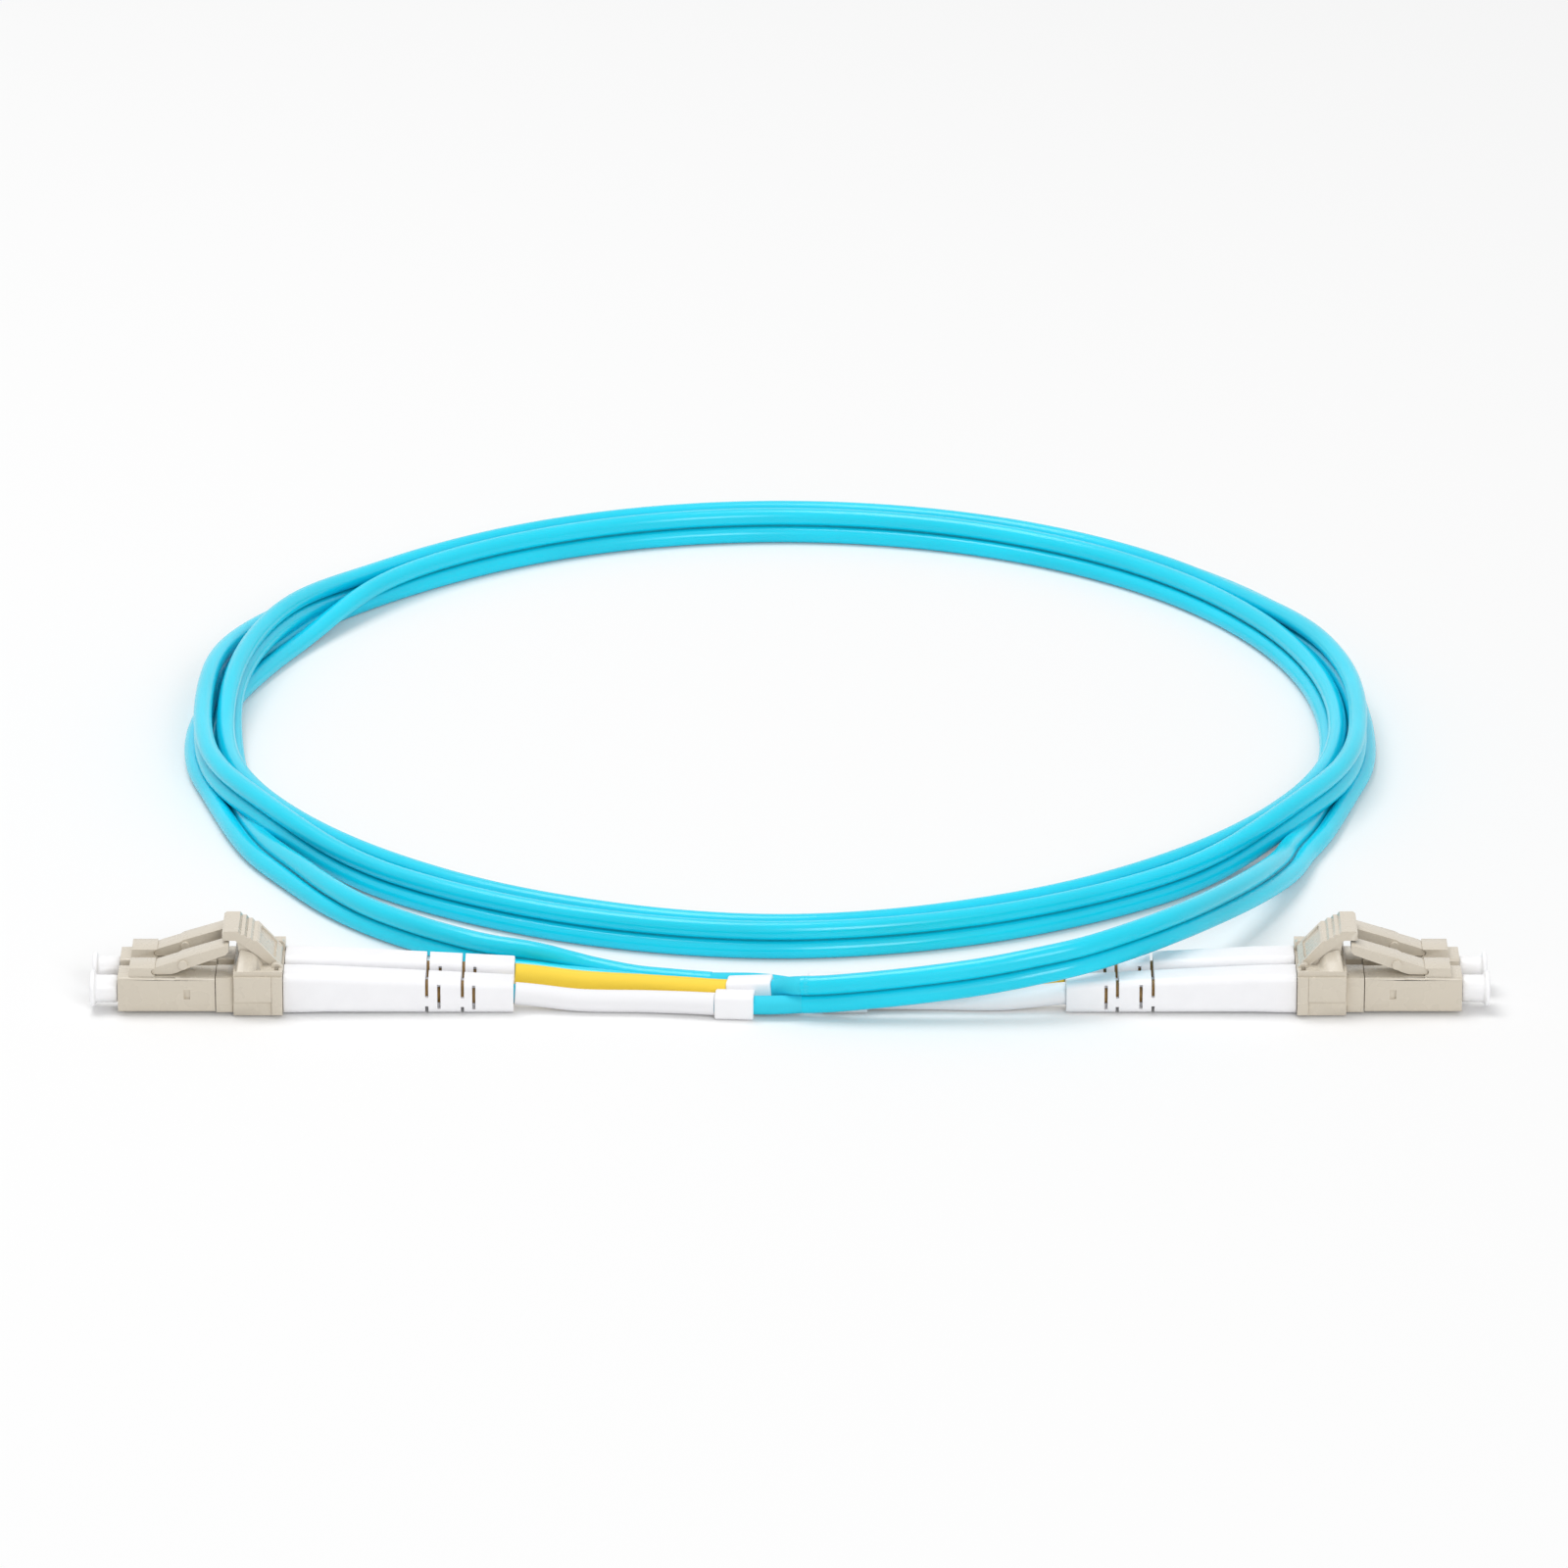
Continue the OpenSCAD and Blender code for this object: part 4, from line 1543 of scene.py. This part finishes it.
    def side_notch(self, side: int) -> bpy.types.Object:
        """The small moulded notch in the housing's side.

        Args:
            side: -1 or 1 across.

        Returns:
            The cutter.
        """
        x0, width, height, depth, drop = 8.15, 0.75, 1.2, 0.45, 0.55
        one_way, both_ways = 0.55, 0.75
        y = side * self.half
        z = self.frame.axis_z
        made = Bench.block((x0, x0 + width), (y - depth, y + depth),
                           (z - drop, z - drop + height))
        for vertex in made.data.vertices:
            behind, above = vertex.co.x > x0 + 0.1, vertex.co.z > z
            if abs(vertex.co.y) < abs(y) and (behind or above):
                vertex.co.y += side * depth * (both_ways if behind and above else one_way)
        return made

    def latch_arm(self) -> bpy.types.Object:
        """The arm that rises from the pad, its finger paddle and its locking ears.

        Returns:
            The arm.
        """
        kx, kz = self.knuckle
        rise = math.tan(math.radians(self.arm_slope))
        half_t = self.arm_t / 2 / math.cos(math.radians(self.arm_slope))
        top1 = kz + half_t + (self.paddle_x - kx) * rise
        top2 = top1 + (self.arm_end - self.paddle_x) * math.tan(math.radians(self.paddle_slope))
        root = arc((kx, kz), self.arm_t / 2, 100, 260, 8)
        outline = root + [
            (kx + 0.3, kz - 0.44), (kx + 2.0, self.top_z + 0.2),
            (self.paddle_x - 0.2, self.top_z + 0.42),
            (self.paddle_x + 0.6, top1 - 1.12 * self.paddle_t),
            (self.arm_end - 0.35, top2 - 0.1 - self.paddle_t),
            (self.arm_end, top2 - 0.75 * self.paddle_t), (self.arm_end, top2 - 0.12),
            (self.arm_end - 0.25, top2 - 0.05), (self.paddle_x + 0.35, top1 + 0.12),
            (self.paddle_x - 0.1, top1 - 0.16), (kx + 0.5, kz + half_t + 0.22),
            (kx + 0.15, kz + half_t + 0.08)]
        half_w = self.arm_w / 2
        arm = Bench.plate(outline, (-half_w, half_w))
        ear_z = top1 - 0.52 * self.paddle_t
        ears = Bench.rod((self.ear_x, 0, ear_z), "Y", self.ear_w, self.ear_r, 28)
        Bench.boolean(arm, [ears], "UNION")
        return Bench.soften(arm, self.arm_soft, 3)

    def rear_body(self) -> bpy.types.Object:
        """The collar behind the housing, with the neck and the post that run on from it.

        Returns:
            The rear body.
        """
        x0 = self.frame.housing_len
        x1, x2 = self.frame.clip
        x3 = self.frame.post_end
        z = self.frame.axis_z
        foot_y = self.half + self.foot_out
        body = self.bar((x0 + 0.1, x1), self.frame.body_w, self.edge)
        foot = Bench.block((x0 + 0.5, x1 - 0.15), (-foot_y, foot_y),
                           (z - self.half + 0.12, z - 1.35))
        neck = self.bar((x1 - 0.3, x2), self.neck_w, self.edge)
        post = Bench.rod(((x2 + x3) / 2, 0, z), "X", x3 - x2 + 0.2, self.post_r, 40)
        Bench.boolean(body, [foot, neck, post], "UNION")
        return Bench.soften(body, self.rear_soft)

    def boot(self) -> bpy.types.Object:
        """The tapered boot with its bore and its slots.

        Returns:
            The boot.
        """
        x0, x1 = self.frame.boot
        z = self.frame.axis_z
        half, taper = self.frame.boot_w / 2, self.boot_tail_w / self.frame.boot_w
        boot = Bench.block((x0, x1), (-half, half), (z - half, z + half))
        for vertex in boot.data.vertices:
            if vertex.co.x > (x0 + x1) / 2:
                vertex.co.y *= taper
                vertex.co.z = z + (vertex.co.z - z) * taper
        Bench.round_long_edges(boot, self.boot_corner, 6)
        Bench.bisect(boot, self.frame.post_end)
        Bench.soften(boot, self.boot_soft, 2, 60)
        cutters = [Bench.rod(((x0 + x1) / 2, 0, z), "X", x1 - x0 + 2, self.boot_bore_r, 40)]
        far = 4.0
        low, high = self.level_slot_z
        for back in self.level_slots:
            span = self.slot_span(back)
            cutters.append(Bench.block(span, (-far, far), (z + high, z + far)))
            cutters.append(Bench.block(span, (-far, far), (z - far, z + low)))
        low, high = self.side_slot_z
        for back in self.side_slots:
            for side in SIDES:
                cutters.append(Bench.block(self.slot_span(back),
                                           side_span(side, self.side_slot_y, far),
                                           (z + low, z + high)))
        Bench.boolean(boot, cutters)
        return Bench.smooth(self.hang(boot), 30)

    def slot_span(self, back: float) -> Span:
        """Where a slot of the boot starts and ends, from how far it lies before the tail."""
        x = self.frame.boot[1] - back
        return x - self.slot / 2, x + self.slot / 2

    def hang(self, obj: bpy.types.Object) -> bpy.types.Object:
        """Lets the tail of a piece down by the boot's sag.

        Args:
            obj: The piece, in the channel's own frame.

        Returns:
            The piece.
        """
        for vertex in obj.data.vertices:
            vertex.co.z -= self.frame.sag(vertex.co.x)
        return obj

    def boot_core(self) -> bpy.types.Object:
        """The tube that shows in the boot's slots; the dark finish that build gives it paints the
        shade inside the boot.

        Returns:
            The tube.
        """
        x0, x1 = self.frame.post_end + 1, self.frame.boot[1] - 0.9
        inner, outer = self.core_r
        liner = Bench.turned([(x0, inner), (x0, outer), (x1, outer), (x1, inner)],
                             self.frame.axis_z, 40)
        return Bench.smooth(self.hang(liner))

    def dust_cap(self) -> bpy.types.Object:
        """The soft cap: closed barrel, pull rim at its outer end, skirt in the nose.

        Returns:
            The cap.
        """
        out, end, wide = -self.cap_out, self.cap_in, self.cap_r
        rim_x, rim_r, bore = out + self.rim_t, self.rim_r, self.cap_bore_r
        cap = Bench.turned([
            (out + 0.2, 0), (out + 0.2, 1.15), (out + 0.05, 1.3), (out, 1.5),
            (out, rim_r - 0.25), (out + 0.09, rim_r - 0.08), (out + 0.28, rim_r),
            (rim_x - 0.2, rim_r), (rim_x - 0.05, rim_r - 0.1), (rim_x, rim_r - 0.28),
            (rim_x + 0.12, wide + 0.08), (rim_x + 0.35, wide), (-0.25, wide),
            (-0.1, wide - 0.12), (-0.1, 1.3), (end - 0.1, 1.3), (end, 1.2), (end, bore),
            (-2.5, bore), (-2.5, 0)], self.frame.axis_z)
        return Bench.smooth(cap, 45)

    def build(self) -> None:
        """Models each piece once and hands over a copy for every channel."""
        pieces = (
            (self.housing(), "housing_shell", BEIGE, "beige", "plug_housing", "root"),
            (self.latch_arm(), "latch_finger", BEIGE, "beige", "latch_arm", "latch_arm"),
            (self.rear_body(), "rear_collar", BEIGE, "beige", "rear_body", "root"),
            (self.boot(), "boot_shell", BOOT, "boot", "boot", "root"),
            # the boot's inner tube takes the darkened finish that paints the shade inside the
            # boot
            (self.boot_core(), "boot_core", SHADED_CORE, "boot", "", "root"),
            (self.dust_cap(), "pull_cap", CAP, "cap", "dust_cap", "dust_cap"),
        )
        for template, name, finish, slot, node, body in pieces:
            for end in End:
                for channel in Channel:
                    tag = f"{end.tag}_{channel.tag}"
                    hand_over(copy_of(template), f"{name}_{tag}",
                              self.frame.channel_matrix(end, channel), finish,
                              body if body == "root" else f"{body}_{tag}",
                              (f"{node}_{tag}",) if node else ())
            bpy.data.objects.remove(template, do_unlink=True)


# ---- duplex clip and trigger ------------------------------------------------------------------


@dataclass
class DuplexClip:
    """The clip that pairs two plugs, and the ribbed trigger over their latch arms."""

    frame: PlugFrame

    # clip
    top: float = 6.05
    foot_z: float = 0.3
    deck_z: float = 5.15
    pocket_x: float = 0.5
    wall_in: float = 0.4
    panel_out: float = 0.38
    panel_drop: float = 0.62
    panel_soft: float = 0.1
    bore_w: float = 4.2
    lug_r: float = 0.75
    corner: float = 0.5
    soft: float = 0.08

    # trigger: its pin as (x, z), then its ribbed crest
    trigger_w: float = 6.8
    swing: float = 0.1
    pin: Span = (19.6, 5.75)
    pin_r: float = 0.35
    pin_play: float = 0.05
    hub_r: float = 0.5
    crest_x: Span = (13.1, 14.9)
    crest_z: float = 10.4
    lip_z: float = 9.17
    ribs: int = 3
    rib: float = 0.75
    drop: float = 0.42
    lever_soft: float = 0.09

    @property
    def inner(self) -> float:
        """Half the width of the pocket that the trigger swings in."""
        return self.trigger_w / 2 + self.swing

    def clip(self) -> bpy.types.Object:
        """The clip's body, its side panels, its cheeks beside the trigger and its bores.

        Returns:
            The clip.
        """
        x0, x1 = self.frame.clip
        half = self.frame.clip_half_w - self.wall_in
        body = Bench.block((x0, x1), (-half, half), (self.foot_z, self.top))
        Bench.round_long_edges(body, self.corner, 3)
        panel_z = self.top - self.panel_drop
        adds = []
        for side in SIDES:
            across = side_span(side, half - 0.3, half + self.panel_out)
            panel = Bench.block((x0 + 0.05, x0 + 4.7), across, (2.15, panel_z))
            rear = Bench.block((x1 - 1.35, x1), across, (self.foot_z + 0.12, panel_z))
            adds += [Bench.soften(panel, self.panel_soft), Bench.soften(rear, self.panel_soft),
                     self.cheek(side)]
            lug_y = side * (self.inner + 0.5)
            adds.append(Bench.rod((self.pin[0], lug_y, self.pin[1]), "Y", 1.0, self.lug_r))
        Bench.boolean(body, adds, "UNION")
        cutters = [Bench.block((x0 + self.pocket_x, x1 + 1), (-self.inner, self.inner),
                               (self.deck_z, self.top + 5)),
                   Bench.rod((self.pin[0], 0, self.pin[1]), "Y", self.trigger_w + 4,
                             self.pin_r + self.pin_play, 28)]
        reach = self.bore_w / 2
        low_z = self.frame.axis_z - reach
        for side in SIDES:
            y = side * self.frame.pitch / 2
            cutters.append(Bench.block((x0 - 1, x1 + 1), (y - reach, y + reach),
                                       (low_z, low_z + self.bore_w)))
        Bench.boolean(body, cutters)
        return Bench.soften(body, self.soft)

    def cheek(self, side: int) -> bpy.types.Object:
        """The flare that runs up from the clip's edge to the trigger's flank.

        Args:
            side: -1 or 1 across.

        Returns:
            The flare.
        """
        x0, top = self.frame.clip[0], self.top
        reach, lean = 2.45, 0.45
        outline = [(x0 + 0.12, top - 0.3), (x0 + 0.8, 7.9), (x0 + 1.0, 8.0), (x0 + 1.6, 7.85),
                   (x0 + 2.3, 7.6), (x0 + 2.9, 7.1), (x0 + 3.4, 6.4), (x0 + 3.8, top - 0.3)]
        flare = Bench.plate(outline, side_span(side, self.inner, self.inner + reach))
        for vertex in flare.data.vertices:
            lift = vertex.co.z - top
            if abs(vertex.co.y) > self.inner + 1 and lift > 0:
                vertex.co.z = top - 0.12
                vertex.co.x -= lean * min(1.0, lift / 2)
        return flare

    def trigger(self) -> bpy.types.Object:
        """The lever with its ribbed crest, sloping back, hub and pin.

        Returns:
            The lever.
        """
        cx0, cx1 = self.crest_x
        top, slab, bead = self.crest_z, 1.25, 0.3
        half = self.trigger_w / 2
        px, pz = self.pin
        foot = self.hub_r * 0.7
        hub_x, hub_z = px + foot, pz + foot
        x1, z1 = cx1 + self.ribs * self.rib, top - self.ribs * self.drop
        outline = [(cx0 - 0.2, self.lip_z), (cx0 - 0.2, top - 0.25), (cx0 + 0.1, top)]
        for i in range(self.ribs):
            x, z = cx1 + i * self.rib, top - i * self.drop
            outline += [(x, z), (x + bead, z - self.drop)]
        outline += [(x1, z1), (hub_x, hub_z), (px - foot, pz - foot), (18.2, 6.45), (17.2, 7.15),
                    (16.2, 7.95), (15.4, 8.55), (cx1 - 0.4, self.lip_z)]
        lever = Bench.plate(outline, (-half, half))
        cheek_x = self.frame.clip[0] + self.pocket_x + 3 * self.swing
        cheek_z = self.top - 0.15
        adds = [Bench.plate([(cx1 - 0.15, self.lip_z + 0.05), (cheek_x, self.top),
                             (cheek_x + 0.15, cheek_z), (px, cheek_z), (x1, z1 - slab / 2)],
                            side_span(side, half - 1.1, half - 0.15)) for side in SIDES]
        adds.append(Bench.rod((px, 0, pz), "Y", self.trigger_w, self.hub_r))
        adds.append(Bench.rod((px, 0, pz), "Y", self.trigger_w + 2, self.pin_r))
        Bench.boolean(lever, adds, "UNION")
        slope = Vector((hub_x - x1, hub_z - z1)).normalized()
        down = Vector((slope.y, -slope.x)) * 0.22
        a = Vector((x1, z1)) + slope * 0.5
        b = Vector((hub_x, hub_z)) - slope * 0.75
        recess = Bench.plate([tuple(a - down), tuple(b - down), tuple(b + down), tuple(a + down)],
                             (0.55 - half, half - 0.55))
        Bench.boolean(lever, [recess])
        return Bench.soften(lever, self.lever_soft)

    def build(self) -> None:
        """Models both pieces once and hands over a copy for each end."""
        for template, name, node, body in (
                (self.clip(), "clip_shell", "duplex_clip", "root"),
                (self.trigger(), "trigger_lever", "trigger", "trigger")):
            for end in End:
                hand_over(copy_of(template), f"{name}_{end.tag}", self.frame.end_matrix(end),
                          BEIGE, body if body == "root" else f"{body}_{end.tag}",
                          (f"{node}_{end.tag}",))
            bpy.data.objects.remove(template, do_unlink=True)


# ---- parts kept from the frame ----------------------------------------------------------------


@dataclass
class InnerParts:
    """The frame's own ferrules, springs, rings and fibres, given their finishes."""

    finishes = {
        "ferrule_flange": STEEL, "ferrule_spring": STEEL, "ferrule": CERAMIC,
        "crimp_ring": BRASS, "buffered_fibre": BUFFER,
    }

    def build(self) -> None:
        """Dresses every copy of each part."""
        for part, finish in self.finishes.items():
            for end in End:
                for channel in Channel:
                    node = frame["nodes"][f"{part}_{end.tag}_{channel.tag}"]
                    node.data.materials.clear()
                    node.data.materials.append(finish.material())
            log.info("%s dressed in %s", part, finish.name)


def main() -> None:
    """Builds the studio, the cords and the plugs in order."""
    logging.basicConfig(level=logging.INFO, format="%(name)s: %(message)s")
    Studio().build()
    plug_frame = PlugFrame.read()
    ZipCord().build()
    for end in End:
        for channel in Channel:
            Leg(plug_frame, end, channel).build()
    Plug(plug_frame).build()
    DuplexClip(plug_frame).build()
    InnerParts().build()


if __name__ == "__main__":
    main()
